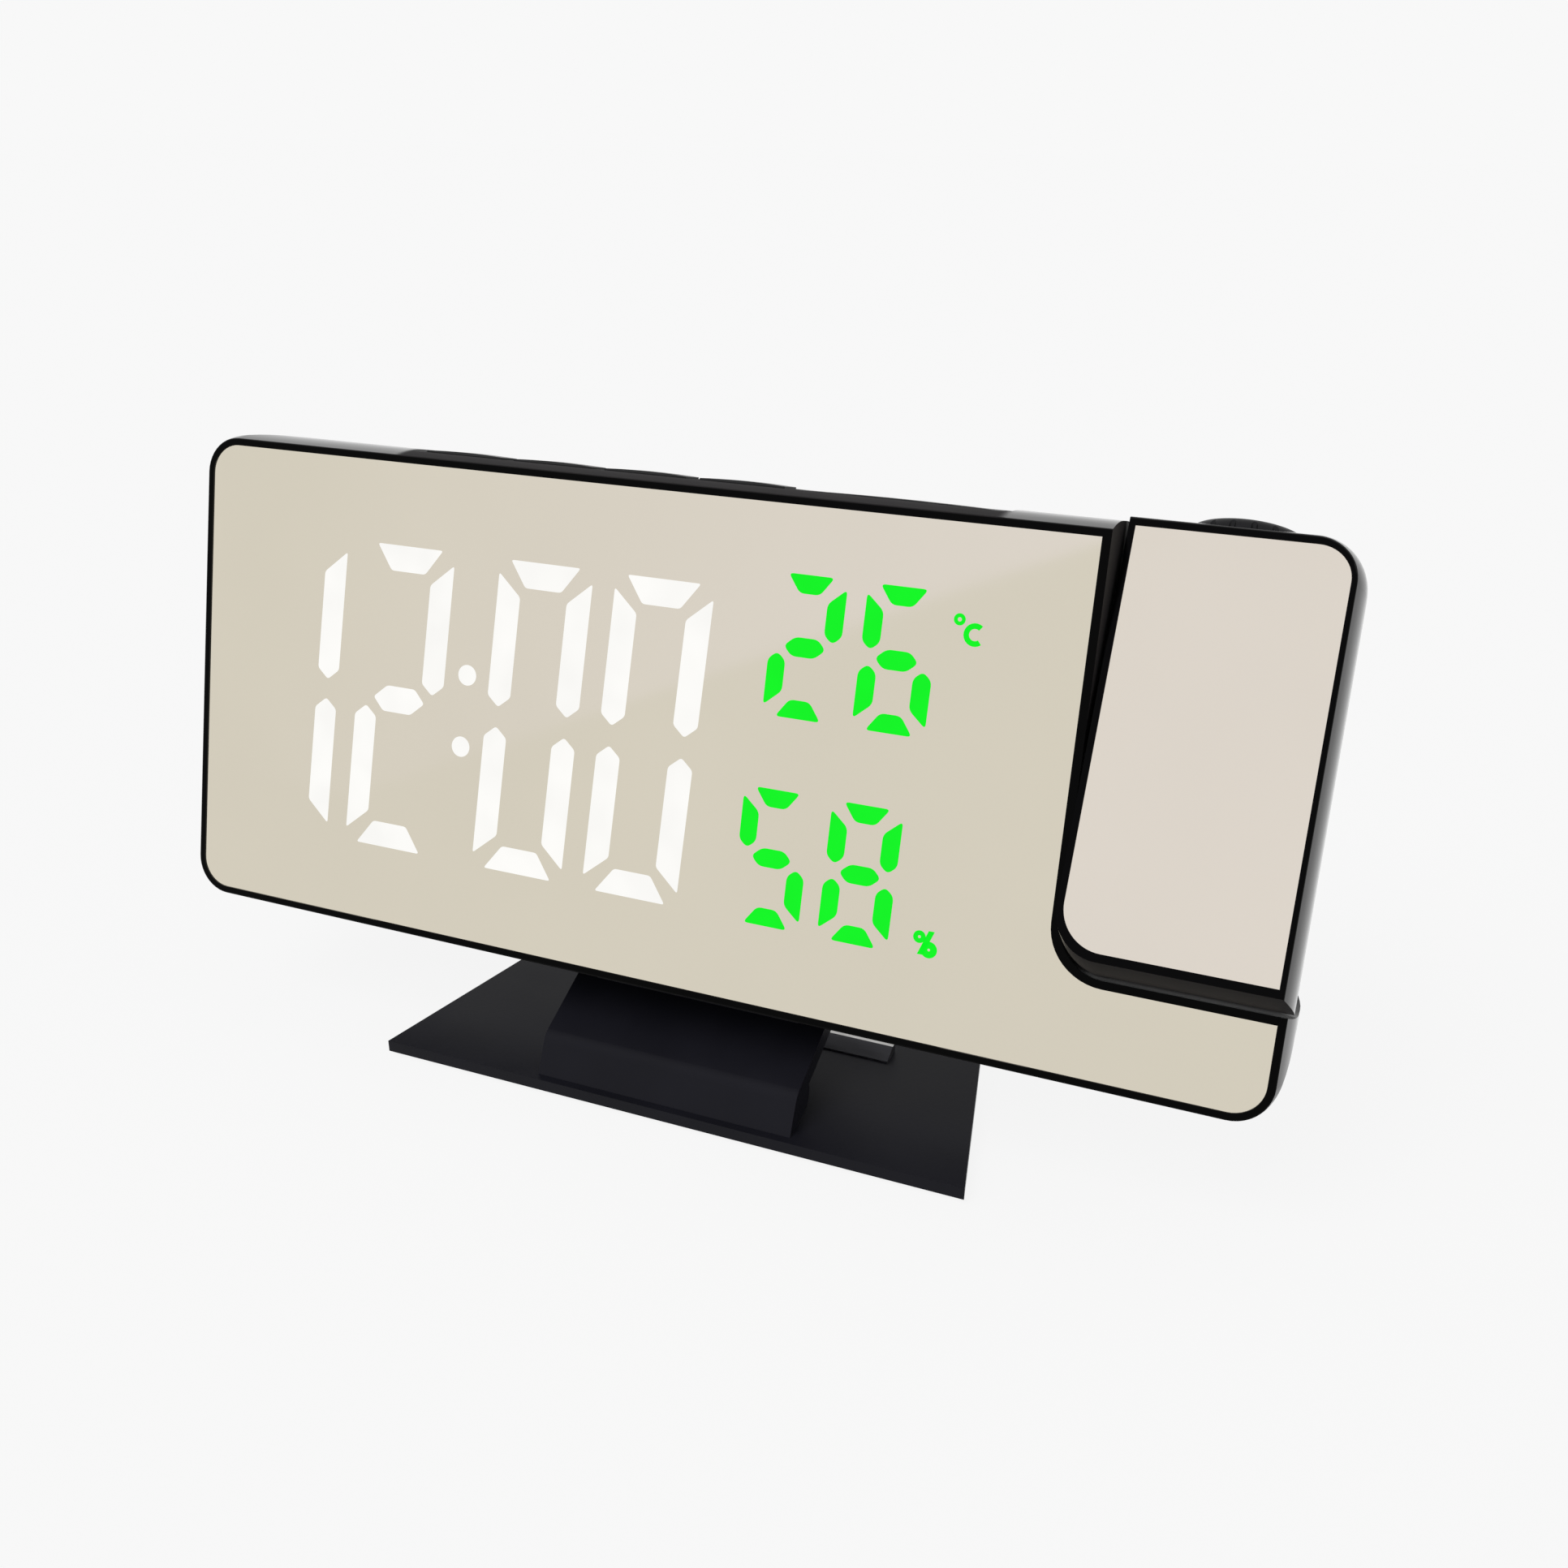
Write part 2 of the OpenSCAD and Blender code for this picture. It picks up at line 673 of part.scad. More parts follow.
// a key: its crowned top stands above the channel, and its flange lies under the wall
module key(x, w, rise) {
    top = channel_z + rise;
    crown_r = w * w / 8 / key_crown;
    stem_z = key_board_z + key_board_t + switch_h + key_travel + 0.1;
    flange_z = front_h - wall - 1;
    under = function (y) front_h - wall + flare * min(y, flare_d) / flare_d;
    flange_y = [key_y[0] - key_gap - 0.1, key_y[1] + 2 * key_gap];
    color(satin_black) leaned() {
        intersection() {
            crosswise(x - w / 2, w) polygon([[key_y[0], flange_z], [key_y[1], flange_z],
                [key_y[1], top], [key_y[0] + key_edge, top], [key_y[0], top - key_edge]]);
            translate([x, 0, top - crown_r]) rotate([-90, 0, 0])
                cylinder(h = far, r = crown_r, $fn = 720);
        }
        crosswise(x - w / 2 - key_flange, w + 2 * key_flange) polygon([[flange_y[0], flange_z],
            [flange_y[1], flange_z], [flange_y[1], under(flare_d)], [flare_d, under(flare_d)],
            [flange_y[0], under(flange_y[0])]]);
        translate([x, key_mid_y, stem_z]) cylinder(h = flange_z + eps - stem_z, d = 3);
        translate([x, key_mid_y, stem_z - 1]) cylinder(h = 1 + eps, d = 1.8);
    }
}

module key_set() { key(key_first_x, key_w, key_rise); }
module key_up() { key(key_first_x + key_pitch, key_w, key_rise); }
module key_down() { key(key_first_x + 2 * key_pitch, key_w, key_rise); }
module key_alarm() { key(key_first_x + 3 * key_pitch, key_w, key_rise); }
module snooze_bar() { key(snooze_x, snooze_w, snooze_rise); }

// strip board under the keys with one switch for each
module key_board() {
    xs = [for (i = [0:3]) key_first_x + i * key_pitch, snooze_x];
    top = key_board_z + key_board_t;
    color(board_green) leaned() {
        translate([key_board_x[0], lip_back, key_board_z])
            cube([key_board_x[1] - key_board_x[0], 6, key_board_t]);
        for (x = xs) difference() {
            translate([x - 3, key_mid_y - 2, top - eps]) cube([6, 4, switch_h + eps]);
            translate([x, key_mid_y, top + 0.2]) cylinder(h = switch_h, d = 2.4);
        }
    }
}

// ---------- sockets and small parts behind the board ----------

module usb_charge_socket() {
    tongue = [usb_size[0] - 2, 10, 1.6];
    color(steel) leaned() translate([usb_xz[0], board_back, usb_xz[1]]) {
        difference() {
            translate([-usb_size[0] / 2, 0, -usb_size[1] / 2])
                cube([usb_size[0], back_wall_y + 1.2 - board_back, usb_size[1]]);
            translate([-usb_size[0] / 2 + 0.4, 2, -usb_size[1] / 2 + 0.4])
                cube([usb_size[0] - 0.8, far, usb_size[1] - 0.8]);
        }
        translate([-tongue[0] / 2, 2 - eps, 0.2]) cube(tongue);
    }
}

module power_socket() {
    r = power_size[1] / 2;
    half = power_size[0] / 2 - r;
    color(steel) leaned() translate([power_xz[0], 0, power_xz[1]]) difference() {
        translate([-power_size[0] / 2, board_back, -r])
            cube([power_size[0], back_wall_y + 1.2 - board_back, 2 * r]);
        difference() {
            union() {
                for (s = [-1, 1]) rod_y(s * half, 0, board_back + 4, far, 2 * r - 0.6);
                translate([-half, board_back + 4, -r + 0.3]) cube([2 * half, far, 2 * r - 0.6]);
            }
            translate([-half, board_back, -0.35]) cube([2 * half, 11, 0.7]);
        }
    }
}

module buzzer() {
    color(black) leaned() difference() {
        rod_y(buzzer_xz[0], buzzer_xz[1], board_back, board_back + 8, buzzer_d);
        rod_y(buzzer_xz[0], buzzer_xz[1], board_back + 6.8, board_back + 9, 2.4);
    }
}

module climate_sensor() {
    color(milk) leaned() difference() {
        translate([sensor_xz[0] - 4, board_back, sensor_xz[1] - 3]) cube([8, 4, 8]);
        for (i = [-1:1]) translate([sensor_xz[0] + i * 2 - 0.5, board_back + 3, sensor_xz[1] - 1.5])
            cube([1, 3, 5]);
    }
}

// bent strip on the board whose crown presses on the cell through the well's window
module cell_clip() {
    t = clip_size[1];
    half = clip_size[0] / 2;
    reach = cell_y - board_back;
    color(steel) leaned() translate([cell_xz[0], board_back, cell_xz[1] - clip_size[2] / 2])
        linear_extrude(clip_size[2]) polygon([[-half, 0], [-half, t], [-3 - t, t], [-2 - t, reach - t],
            [-1 - t, reach], [1 + t, reach], [2 + t, reach - t], [3 + t, t], [half, t], [half, 0],
            [3, 0], [2, reach - 2 * t], [1, reach - t], [-1, reach - t], [-2, reach - 2 * t],
            [-3, 0]]);
}

module coin_cell() {
    color(steel) leaned() {
        rod_y(cell_xz[0], cell_xz[1], cell_y, cell_y + 0.5, cell_d - 1.6);
        rod_y(cell_xz[0], cell_xz[1], cell_y + 0.5, cell_y + cell_t, cell_d);
    }
}

// a disc that a coin turns: a slot across its face and a bead round its edge
module cell_door() {
    y0 = back_wall_y + 0.4;
    color(satin_black) leaned() difference() {
        rod_y(cell_xz[0], cell_xz[1], y0, y0 + door_t, door_d);
        translate([cell_xz[0] - 7, y0 + 0.7, cell_xz[1] - 0.9]) cube([14, 4, 1.8]);
        for (a = [45:90:315]) rod_y(cell_xz[0] + 9.6 * cos(a), cell_xz[1] + 9.6 * sin(a),
            y0 + 1.1, y0 + 3, 1.6);
    }
}

// ---------- hub ----------

module hub_bush() {
    color(satin_black) leaned() difference() {
        union() {
            rod_x(bush_x0, bush_x1, bush_d);
            translate([bush_x1 - bush_plate[0], lip_back + 0.2, pivot_z - bush_plate[2] / 2])
                cube(bush_plate);
        }
        rod_x(bush_x0 - 1, bush_x1 + 1, shaft_d + 2 * running_fit);
    }
}

module friction_washer() {
    color(steel) leaned() difference() {
        rod_x(bush_x0 - washer_t, bush_x0, 12.6);
        rod_x(bush_x0 - washer_t - 1, bush_x0 + 1, shaft_d + 0.6);
    }
}

module pivot_shaft() {
    color(satin_black) swung() difference() {
        union() {
            rod_x(shaft_x0, flange_x0 + flange_t, shaft_d);
            rod_x(flange_x0, flange_x0 + flange_t, flange_d);
        }
        rod_x(shaft_x0 - 1, flange_x0 + flange_t + 1, wire_bore);
        difference() {
            rod_x(circlip_x0, circlip_x0 + circlip_t, shaft_d + 1);
            rod_x(circlip_x0 - 1, circlip_x0 + 2, groove_d);
        }
    }
}

module pivot_circlip() {
    color(steel) swung() difference() {
        rod_x(circlip_x0, circlip_x0 + circlip_t, circlip_d);
        rod_x(circlip_x0 - 1, circlip_x0 + 2, groove_d);
        translate([circlip_x0 - 1, pivot_y - 2, pivot_z - 10]) cube([3, 4, 10]);
    }
}

// ---------- projector arm ----------

// the arm's outside: the same curved sides as the body's, cut off where it turns
module arm_form() {
    intersection() {
        swept_corner(2 * arm_x1, corner_r, arm_x1 - corner_r - arm_x0 + 1, front_h) {
            front_section(arm_flare, arm_front_side_r, arm_parting);
            translate([arm_flare, arm_parting])
                side_section(arm_back_run, arm_back_side_r, back_edge_r);
        }
        swing_space(arm_x0, arm_r, arm_corner);
        linear_extrude(far) {
            translate([arm_x0, -1]) square([far, arm_d - arm_left_r + 1]);
            translate([arm_x0 + arm_left_r, -1]) square([far, far]);
            translate([arm_x0 + arm_left_r, arm_d - arm_left_r]) circle(r = arm_left_r);
        }
    }
}

// the arm's hollow, whose walls are inset thick
module arm_hollow(inset) {
    right = arm_x1 + arm_flare - inset;
    r = corner_r - inset;
    intersection() {
        linear_extrude(far) polygon([[arm_x0 + inset, inset], [arm_x1 - inset, inset],
            [right, flare_d], [right, arm_parting], [arm_back_x - inset, arm_d - 2],
            [arm_back_x - 2 - inset * 0.6, arm_d - inset],
            [arm_x0 + 2 + inset * 0.6, arm_d - inset], [arm_x0 + inset, arm_d - 2]]);
        depthwise(-1, arm_d + 2) {
            square([right, arm_end_z - r]);
            square([right - r, arm_end_z]);
            translate([right - r, arm_end_z - r]) circle(r = r);
        }
        swing_space(arm_x0 + inset, arm_r - inset, arm_corner - inset);
    }
}

module arm_mirror_outline() {
    r_low = 6;
    r_top = corner_r - rim;
    x = arm_mirror_x;
    z = arm_mirror_z;
    intersection() {
        rounded_quadrant(x[0], z[0], r_low);
        union() {
            square([x[1], z[1] - r_top]);
            square([x[1] - r_top, z[1]]);
            translate([x[1] - r_top, z[1] - r_top]) circle(r = r_top);
        }
    }
}

module arm_mirror() {
    color(champagne) swung() depthwise(mirror_y, mirror_t) arm_mirror_outline();
}

// ribs across one half of the arm, which the optics tube lies in, and its screw bosses
module arm_inside(y0, y1) {
    intersection() {
        arm_hollow(arm_wall / 2);
        union() {
            for (z = tube_rib_z) translate([arm_x0, y0, z]) cube([far, y1 - y0, arm_wall]);
            for (p = arm_screw_xz) rod_y(p[0], p[1], y0, y1, arm_boss_d);
        }
    }
}

// what both halves of the arm are cut by: the tube, the focus ring and the hub
module arm_cuts() {
    rod_z(tube_z0, far, tube_d);
    rod_z(arm_end_z - 1, far, ring_hole_d);
    rod_z(ring_seat_z, far, ring_d + 0.5);
    rod_x(arm_x0 - 1, arm_x0 + 4, shaft_d);
    rod_x(flange_x0, flange_x0 + flange_t, flange_d);
}

module arm_front_shell() {
    color(black) swung() difference() {
        union() {
            difference() {
                intersection() {
                    arm_form();
                    translate([0, -1, -far]) cube([far, arm_parting + 1, 2 * far]);
                }
                arm_hollow(arm_wall + 0.8);
            }
            arm_inside(mirror_back + 0.4, arm_parting);
        }
        depthwise(-1, 1 + mirror_back) arm_mirror_outline();
        arm_cuts();
        for (p = arm_screw_xz) rod_y(p[0], p[1], 3.4, arm_parting + 1, screw_d);
    }
}

module arm_rear_shell() {
    color(satin_black) swung() difference() {
        union() {
            difference() {
                intersection() {
                    arm_form();
                    translate([0, arm_parting, -far]) cube([far, far, 2 * far]);
                }
                arm_hollow(arm_wall);
            }
            arm_inside(arm_parting, arm_d);
        }
        arm_cuts();
        for (p = arm_screw_xz) {
            rod_y(p[0], p[1], arm_parting - 1, arm_d, screw_d + 0.4);
            rod_y(p[0], p[1], arm_screw_y, arm_d + 1, screw_head_d + 0.6);
        }
        // cooling slots behind the lamp
        for (i = [0:5]) translate([optic_x - 8, arm_d - 4, 24 + i * 3]) cube([16, 6, 1.2]);
    }
}

module arm_screws() {
    color(steel) swung() for (p = arm_screw_xz) {
        rod_y(p[0], p[1], 4.4, arm_screw_y, screw_d);
        difference() {
            rod_y(p[0], p[1], arm_screw_y, arm_screw_y + screw_head_h, screw_head_d);
            cross_recess(p[0], arm_screw_y + screw_head_h, p[1]);
        }
    }
}

// the lamp board closes the lower end of the optics tube
module projector_board() {
    size = [14, 14, board_t];
    color(board_green) swung() translate([optic_x, optic_y, tube_z0 - board_t]) {
        translate([-size[0] / 2, -size[1] / 2, 0]) cube(size);
        translate([-5, -5, -1.2]) cube([4, 10, 1.2 + eps]);
    }
}

module projector_led() {
    color(milk) swung() {
        rod_z(tube_z0, tube_z0 + lamp_t, 7);
        translate([optic_x, optic_y, tube_z0 + lamp_t - eps]) intersection() {
            sphere(d = 5);
            cylinder(h = 5, d = 6);
        }
    }
}

module condenser_lens() {
    color(glass) swung() intersection() {
        rod_z(34, 39, tube_bore);
        translate([optic_x, optic_y, 28]) sphere(r = 11);
    }
}

module image_slide() {
    color(glass) swung() rod_z(slide_z, slide_z + 1.8, tube_bore);
}

// one tube carries the condenser, the slide and the sliding barrel
module optics_tube() {
    slot = [pin_d + 0.2, tube_d, focus_travel + pin_d + 0.4];
    color(satin_black) swung() difference() {
        rod_z(tube_z0, tube_z1, tube_d);
        rod_z(tube_z0 - 1, tube_z1 + 1, tube_bore);
        // straight guides for the barrel's two pins
        translate([optic_x - slot[0] / 2, optic_y - tube_d, pin_z - slot[2] / 2])
            cube([slot[0], 2 * slot[1], slot[2]]);
    }
}

module lens_barrel() {
    color(black) swung() difference() {
        union() {
            rod_z(barrel_z0, barrel_z0 + barrel_l, barrel_d);
            translate([optic_x, optic_y - pin_reach, pin_z]) rotate([-90, 0, 0])
                cylinder(h = 2 * pin_reach, d = pin_d);
        }
        rod_z(barrel_z0 - 1, far, lens_d - 1.6);
        rod_z(lens_z, far, lens_d);
    }
}

module projection_lens() {
    dome_r = 9;
    thickness = 3.4;
    color(glass) swung() intersection() {
        rod_z(lens_z, lens_z + thickness, lens_d);
        translate([optic_x, optic_y, lens_z + thickness - dome_r]) sphere(r = dome_r);
    }
}

// a fluted ring with the lens deep in its mouth; its sleeve turns round the tube, a collar
// keeps it under the arm's end, and a groove inside it takes the barrel's pins
module focus_ring() {
    proud = arm_top + ring_h - ring_z0;
    shoulder_r = 1.4;
    shoulder_x = ring_d / 2 - shoulder_r;
    flutes = 18;
    collar_z = arm_end_z - 1.4;
    groove_h = focus_travel + pin_d + 0.6;
    color(satin_black) swung() difference() {
        union() {
            translate([optic_x, optic_y, ring_z0]) rotate_extrude() {
                square([ring_d / 2, proud - shoulder_r]);
                intersection() {
                    square([ring_d, proud]);
                    union() {
                        square([shoulder_x, proud]);
                        translate([shoulder_x, proud - shoulder_r]) circle(r = shoulder_r);
                    }
                }
            }
            rod_z(skirt_z0, ring_z0 + eps, skirt_d);
            rod_z(collar_z, collar_z + 1.2, ring_hole_d + 1);
        }
        rod_z(skirt_z0 - 1, tube_z1 + 0.2, tube_d + 2 * running_fit);
        rod_z(pin_z - groove_h / 2, pin_z + groove_h / 2, 2 * pin_reach + 0.2);
        translate([optic_x, optic_y, tube_z1])
            cylinder(h = arm_top + ring_h + eps - tube_z1, r1 = 3.6, r2 = 4.7);
        for (i = [0:flutes - 1])
            translate([optic_x, optic_y, ring_z0]) rotate([0, 0, i * 360 / flutes])
                translate([ring_d / 2 + 0.1, 0, -eps]) cylinder(h = 5, d = 0.9, $fn = 16);
    }
}

// ---------- stand ----------

module foot_outline(inset) {
    f = foot_front_w / 2 - inset;
    b = foot_back_w / 2 - inset;
    polygon([[-f, foot_front_y + inset], [f, foot_front_y + inset],
        [b, foot_back_y - inset], [-b, foot_back_y - inset]]);
}

// the tongue that plugs into the clock's underside, in the clock's own frame
module stand_tongue(clearance) {
    translate([-tongue_w / 2 - clearance, tongue_y[0] - clearance, -4])
        cube([tongue_w + 2 * clearance, tongue_y[1] - tongue_y[0] + 2 * clearance, 12]);
}

// bent sheet: a sloping front, a rounded bend and a roof that climbs to the clock
module neck() {
    run = 27;
    bend = [neck_y + neck_t, neck_bend_z];
    down = [-tan(neck_front_slope), -1];
    outwards = neck_t * [-cos(neck_front_slope), sin(neck_front_slope)];
    crosswise(-neck_w / 2, neck_w) intersection() {
        union() {
            polygon([bend, bend + outwards,
                bend + outwards + down * (bend[1] + outwards[1] - foot_top + eps),
                bend + down * (bend[1] - foot_top + eps)]);
            translate(bend) circle(r = neck_t);
            translate(bend) rotate(neck_slope) square([run, neck_t]);
        }
        translate([-far / 2, foot_top - eps]) square(far);
    }
    // gussets under the roof
    for (x = [-13, -1.5, 10]) crosswise(x, 3) polygon([[neck_y + 1, foot_top - eps],
        [neck_y + 1, neck_bend_z], [neck_y + neck_t, neck_bend_z + 0.5],
        [22, neck_bend_z + (22 - neck_y - neck_t) * tan(neck_slope) + 0.5], [22, foot_top - eps]]);
}

module stand() {
    color(black) translate([0, -middle_y, 0]) difference() {
        union() {
            translate([0, 0, pad_stand]) linear_extrude(foot_top - pad_stand) foot_outline(0);
            difference() {
                union() {
                    neck();
                    translate([0, 0, lift]) rotate([-lean, 0, 0])
                        translate([-18, 12, -4.5]) cube([36, 11, 8]);
                }
                translate([0, 0, lift]) rotate([-lean, 0, 0]) {
                    frame_form();
                    cover_form();
                }
            }
            translate([0, 0, lift]) rotate([-lean, 0, 0]) stand_tongue(0);
        }
        // shallow pocket and pad recesses below
        translate([0, 0, -1]) linear_extrude(1 + pad_stand + 0.8) difference() {
            foot_outline(3);
            for (x = [-30, 0, 30]) translate([x - 1, -20]) square([2, 100]);
            for (y = [8, 28]) translate([-60, y]) square([120, 2]);
            for (p = pad_xy()) translate(p) circle(d = pad_d + 3);
        }
        for (p = pad_xy()) translate([p[0], p[1], -1]) cylinder(h = 1 + pad_t, d = pad_d);
        bar_form();
    }
}

function pad_xy() = [for (sx = [-1, 1]) for (q = [[42, 3.5], [34, 39.5]]) [sx * q[0], q[1]]];

// a bar let into the foot, with a sloping front and a narrow level top
module bar_form() {
    crosswise(-bar_w / 2, bar_w) translate([0, foot_top]) polygon([[bar_y[0], -bar_sunk],
        [bar_y[2], -bar_sunk], [bar_y[2], bar_z[1]], [bar_y[1], bar_z[1]], [bar_y[0], bar_z[0]]]);
}

module ballast_bar() {
    color(steel) translate([0, -middle_y, 0]) bar_form();
}

module foot_pads() {
    color([0.16, 0.16, 0.17]) for (p = pad_xy()) translate([p[0], p[1] - middle_y, 0])
        cylinder(h = pad_t, d = pad_d);
}

front_frame();
mirror_panel();
diffuser_sheet();
segment_reflector();
display_board();
rear_cover();
body_screws();
key_board();
key_set();
key_up();
key_down();
key_alarm();
snooze_bar();
usb_charge_socket();
power_socket();
buzzer();
climate_sensor();
cell_clip();
coin_cell();
cell_door();
hub_bush();
friction_washer();
stand();
ballast_bar();
foot_pads();
pivot_shaft();
pivot_circlip();
arm_front_shell();
arm_rear_shell();
arm_mirror();
arm_screws();
projector_board();
projector_led();
condenser_lens();
image_slide();
optics_tube();
lens_barrel();
projection_lens();
focus_ring();
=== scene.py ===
"""Looks of a mirror-faced projection alarm clock, made round its fixed construction frame.

The frame holds every rigid part. This script gives each of them its finish, adds the lit strokes
that shine through the half-silvered panel, and sets the clock in a plain white studio.
"""

from __future__ import annotations

import json
import logging
import math
from dataclasses import dataclass
from enum import Enum
from typing import Any, ClassVar

import bpy
import numpy as np
from mathutils import Euler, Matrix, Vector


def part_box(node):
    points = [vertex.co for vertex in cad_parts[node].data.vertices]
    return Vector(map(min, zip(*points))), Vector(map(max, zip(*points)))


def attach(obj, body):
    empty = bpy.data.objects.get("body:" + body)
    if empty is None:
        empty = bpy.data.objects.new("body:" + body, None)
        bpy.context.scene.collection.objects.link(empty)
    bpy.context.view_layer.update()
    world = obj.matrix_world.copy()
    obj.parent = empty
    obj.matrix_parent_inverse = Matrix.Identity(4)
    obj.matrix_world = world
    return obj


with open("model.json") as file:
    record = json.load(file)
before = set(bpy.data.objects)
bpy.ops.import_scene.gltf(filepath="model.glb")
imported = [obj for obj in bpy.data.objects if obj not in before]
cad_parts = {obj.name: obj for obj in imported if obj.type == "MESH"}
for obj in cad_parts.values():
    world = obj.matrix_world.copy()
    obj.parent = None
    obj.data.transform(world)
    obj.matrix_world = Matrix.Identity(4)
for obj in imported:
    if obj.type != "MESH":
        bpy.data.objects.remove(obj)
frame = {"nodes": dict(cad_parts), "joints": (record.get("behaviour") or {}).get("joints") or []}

LOG = logging.getLogger("clock")
MM = 0.001
Colour = tuple[float, float, float, float]
Material = bpy.types.Material
Tree = bpy.types.NodeTree
Socket = bpy.types.NodeSocket
Settings = dict[str | int, Any]
Links = dict[str | int, Socket]
# nearly all of a pattern's values lie in this range
PATTERN_RANGE = (0.3, 0.7)
# sockets of a node that mixes colours: their names are shared by its other sockets
MIX_FACTOR, MIX_FIRST, MIX_SECOND, MIXED = 0, 6, 7, 2
# index of refraction of ABS, polystyrene, acetal and lacquer, near enough
PLASTIC_INDEX = 1.5


# ---------- small helpers ----------


def srgb(code: str) -> Colour:
    """Turns an sRGB hex value into a linear colour.

    Args:
        code: six hex digits, with or without a leading hash.

    Returns:
        Linear red, green, blue and an alpha of 1.
    """
    text = code.lstrip("#")
    channels = np.array([int(text[i:i + 2], 16) for i in (0, 2, 4)]) / 255
    linear = np.where(channels <= 0.04045, channels / 12.92, ((channels + 0.055) / 1.055) ** 2.4)
    return (*(float(c) for c in linear), 1.0)


def scaled(colour: Colour, factor: float) -> Colour:
    """Makes a linear colour lighter or darker by a factor."""
    return (*(c * factor for c in colour[:3]), 1.0)


def give_or_take(middle: float, share: float) -> tuple[float, float]:
    """Gives the two figures that differ from a middle one by a share of it."""
    return middle * (1 - share), middle * (1 + share)


def add_node(
    tree: Tree, kind: str, settings: Settings | None = None, links: Links | None = None
) -> bpy.types.Node:
    """Adds one shader node.

    Args:
        tree: the node tree that it goes into.
        kind: the node's type, without the ShaderNode that all of them start with.
        settings: values of its properties or sockets, by name or socket number.
        links: sockets of other nodes that feed its sockets, by name or number.

    Returns:
        The new node.
    """
    node = tree.nodes.new(f"ShaderNode{kind}")
    for key, value in (settings or {}).items():
        if isinstance(key, int) or key in node.inputs:
            node.inputs[key].default_value = value
        else:
            setattr(node, key, value)
    for key, socket in (links or {}).items():
        tree.links.new(socket, node.inputs[key])
    return node


def new_material(name: str) -> tuple[Material, Tree]:
    """Makes a material with no nodes in it yet.

    Args:
        name: the material's name.

    Returns:
        The material and its node tree.
    """
    material = bpy.data.materials.new(name)
    material.use_nodes = True
    material.node_tree.nodes.clear()
    return material, material.node_tree


# ---------- patterns and regions ----------


class Pattern:
    """Something that varies over a piece, such as grain."""

    def draw(self, tree: Tree) -> Socket:
        """Lays the pattern over the piece and returns its height, from 0 to 1."""
        raise NotImplementedError


@dataclass(frozen=True)
class Blotches(Pattern):
    """Soft, irregular blobs: noise on a point's place.

    Attributes:
        size_mm: width of one blob.
        detail: octaves of finer noise on top.
    """

    size_mm: float
    detail: float

    def draw(self, tree: Tree) -> Socket:
        """Lays the blobs over the piece.

        Args:
            tree: the node tree that they go into.

        Returns:
            The socket with their height.
        """
        place = add_node(tree, "TexCoord").outputs["Object"]
        settings = {"Scale": 1 / (self.size_mm * MM), "Detail": self.detail}
        return add_node(tree, "TexNoise", settings, {"Vector": place}).outputs["Fac"]


@dataclass(frozen=True)
class DrawnLines(Pattern):
    """Fine lines along X: noise on a point's place, drawn out lengthwise.

    Attributes:
        length_mm: length of one line.
        width_mm: width of one line.
        detail: octaves of finer noise on top.
    """

    length_mm: float
    width_mm: float
    detail: float = 2

    def draw(self, tree: Tree) -> Socket:
        """Lays the lines over the piece.

        Args:
            tree: the node tree that they go into.

        Returns:
            The socket with their height.
        """
        along, across = (1 / (size * MM) for size in (self.length_mm, self.width_mm))
        place = add_node(tree, "TexCoord").outputs["Object"]
        drawn = add_node(tree, "Mapping", {"Scale": (along, across, across)}, {"Vector": place})
        settings = {"Scale": 1.0, "Detail": self.detail}
        links = {"Vector": drawn.outputs["Vector"]}
        return add_node(tree, "TexNoise", settings, links).outputs["Fac"]


@dataclass(frozen=True)
class Weave(Pattern):
    """Cells of woven glass: distance from the nearest of many scattered points.

    Attributes:
        cell_mm: width of one cell.
    """

    cell_mm: float

    def draw(self, tree: Tree) -> Socket:
        """Lays the cells over the piece.

        Args:
            tree: the node tree that they go into.

        Returns:
            The socket with their height.
        """
        place = add_node(tree, "TexCoord").outputs["Object"]
        settings = {"Scale": 1 / (self.cell_mm * MM)}
        return add_node(tree, "TexVoronoi", settings, {"Vector": place}).outputs["Distance"]


@dataclass(frozen=True)
class Variation:
    """How a pattern changes a finish from place to place.

    Attributes:
        pattern: the pattern.
        colours: linear colours where it is lowest and highest.
        roughness: roughness where it is lowest and highest.
        depth_mm: how far it stands out from lowest to highest.
        tinted: the shader's socket that takes the colours.
    """

    pattern: Pattern
    colours: tuple[Colour, Colour] | None = None
    roughness: tuple[float, float] | None = None
    depth_mm: float | None = None
    tinted: str = "Base Color"

    def feed(self, tree: Tree) -> Links:
        """Adds the nodes that carry the pattern to the shader.

        Args:
            tree: the node tree that they go into.

        Returns:
            What feeds each of the shader's sockets that it changes.
        """
        height = self.pattern.draw(tree)
        low, high = PATTERN_RANGE
        links: Links = {}
        if self.colours:
            share = add_node(
                tree, "MapRange", {"From Min": low, "From Max": high}, {"Value": height}
            )
            links[self.tinted] = add_node(
                tree,
                "Mix",
                {"data_type": "RGBA", MIX_FIRST: self.colours[0], MIX_SECOND: self.colours[1]},
                {MIX_FACTOR: share.outputs["Result"]},
            ).outputs[MIXED]
        if self.roughness:
            smoothest, roughest = self.roughness
            links["Roughness"] = add_node(
                tree,
                "MapRange",
                {"From Min": low, "From Max": high, "To Min": smoothest, "To Max": roughest},
                {"Value": height},
            ).outputs["Result"]
        if self.depth_mm:
            links["Normal"] = add_node(
                tree, "Bump", {"Strength": 1.0, "Distance": self.depth_mm * MM}, {"Height": height}
            ).outputs["Normal"]
        return links


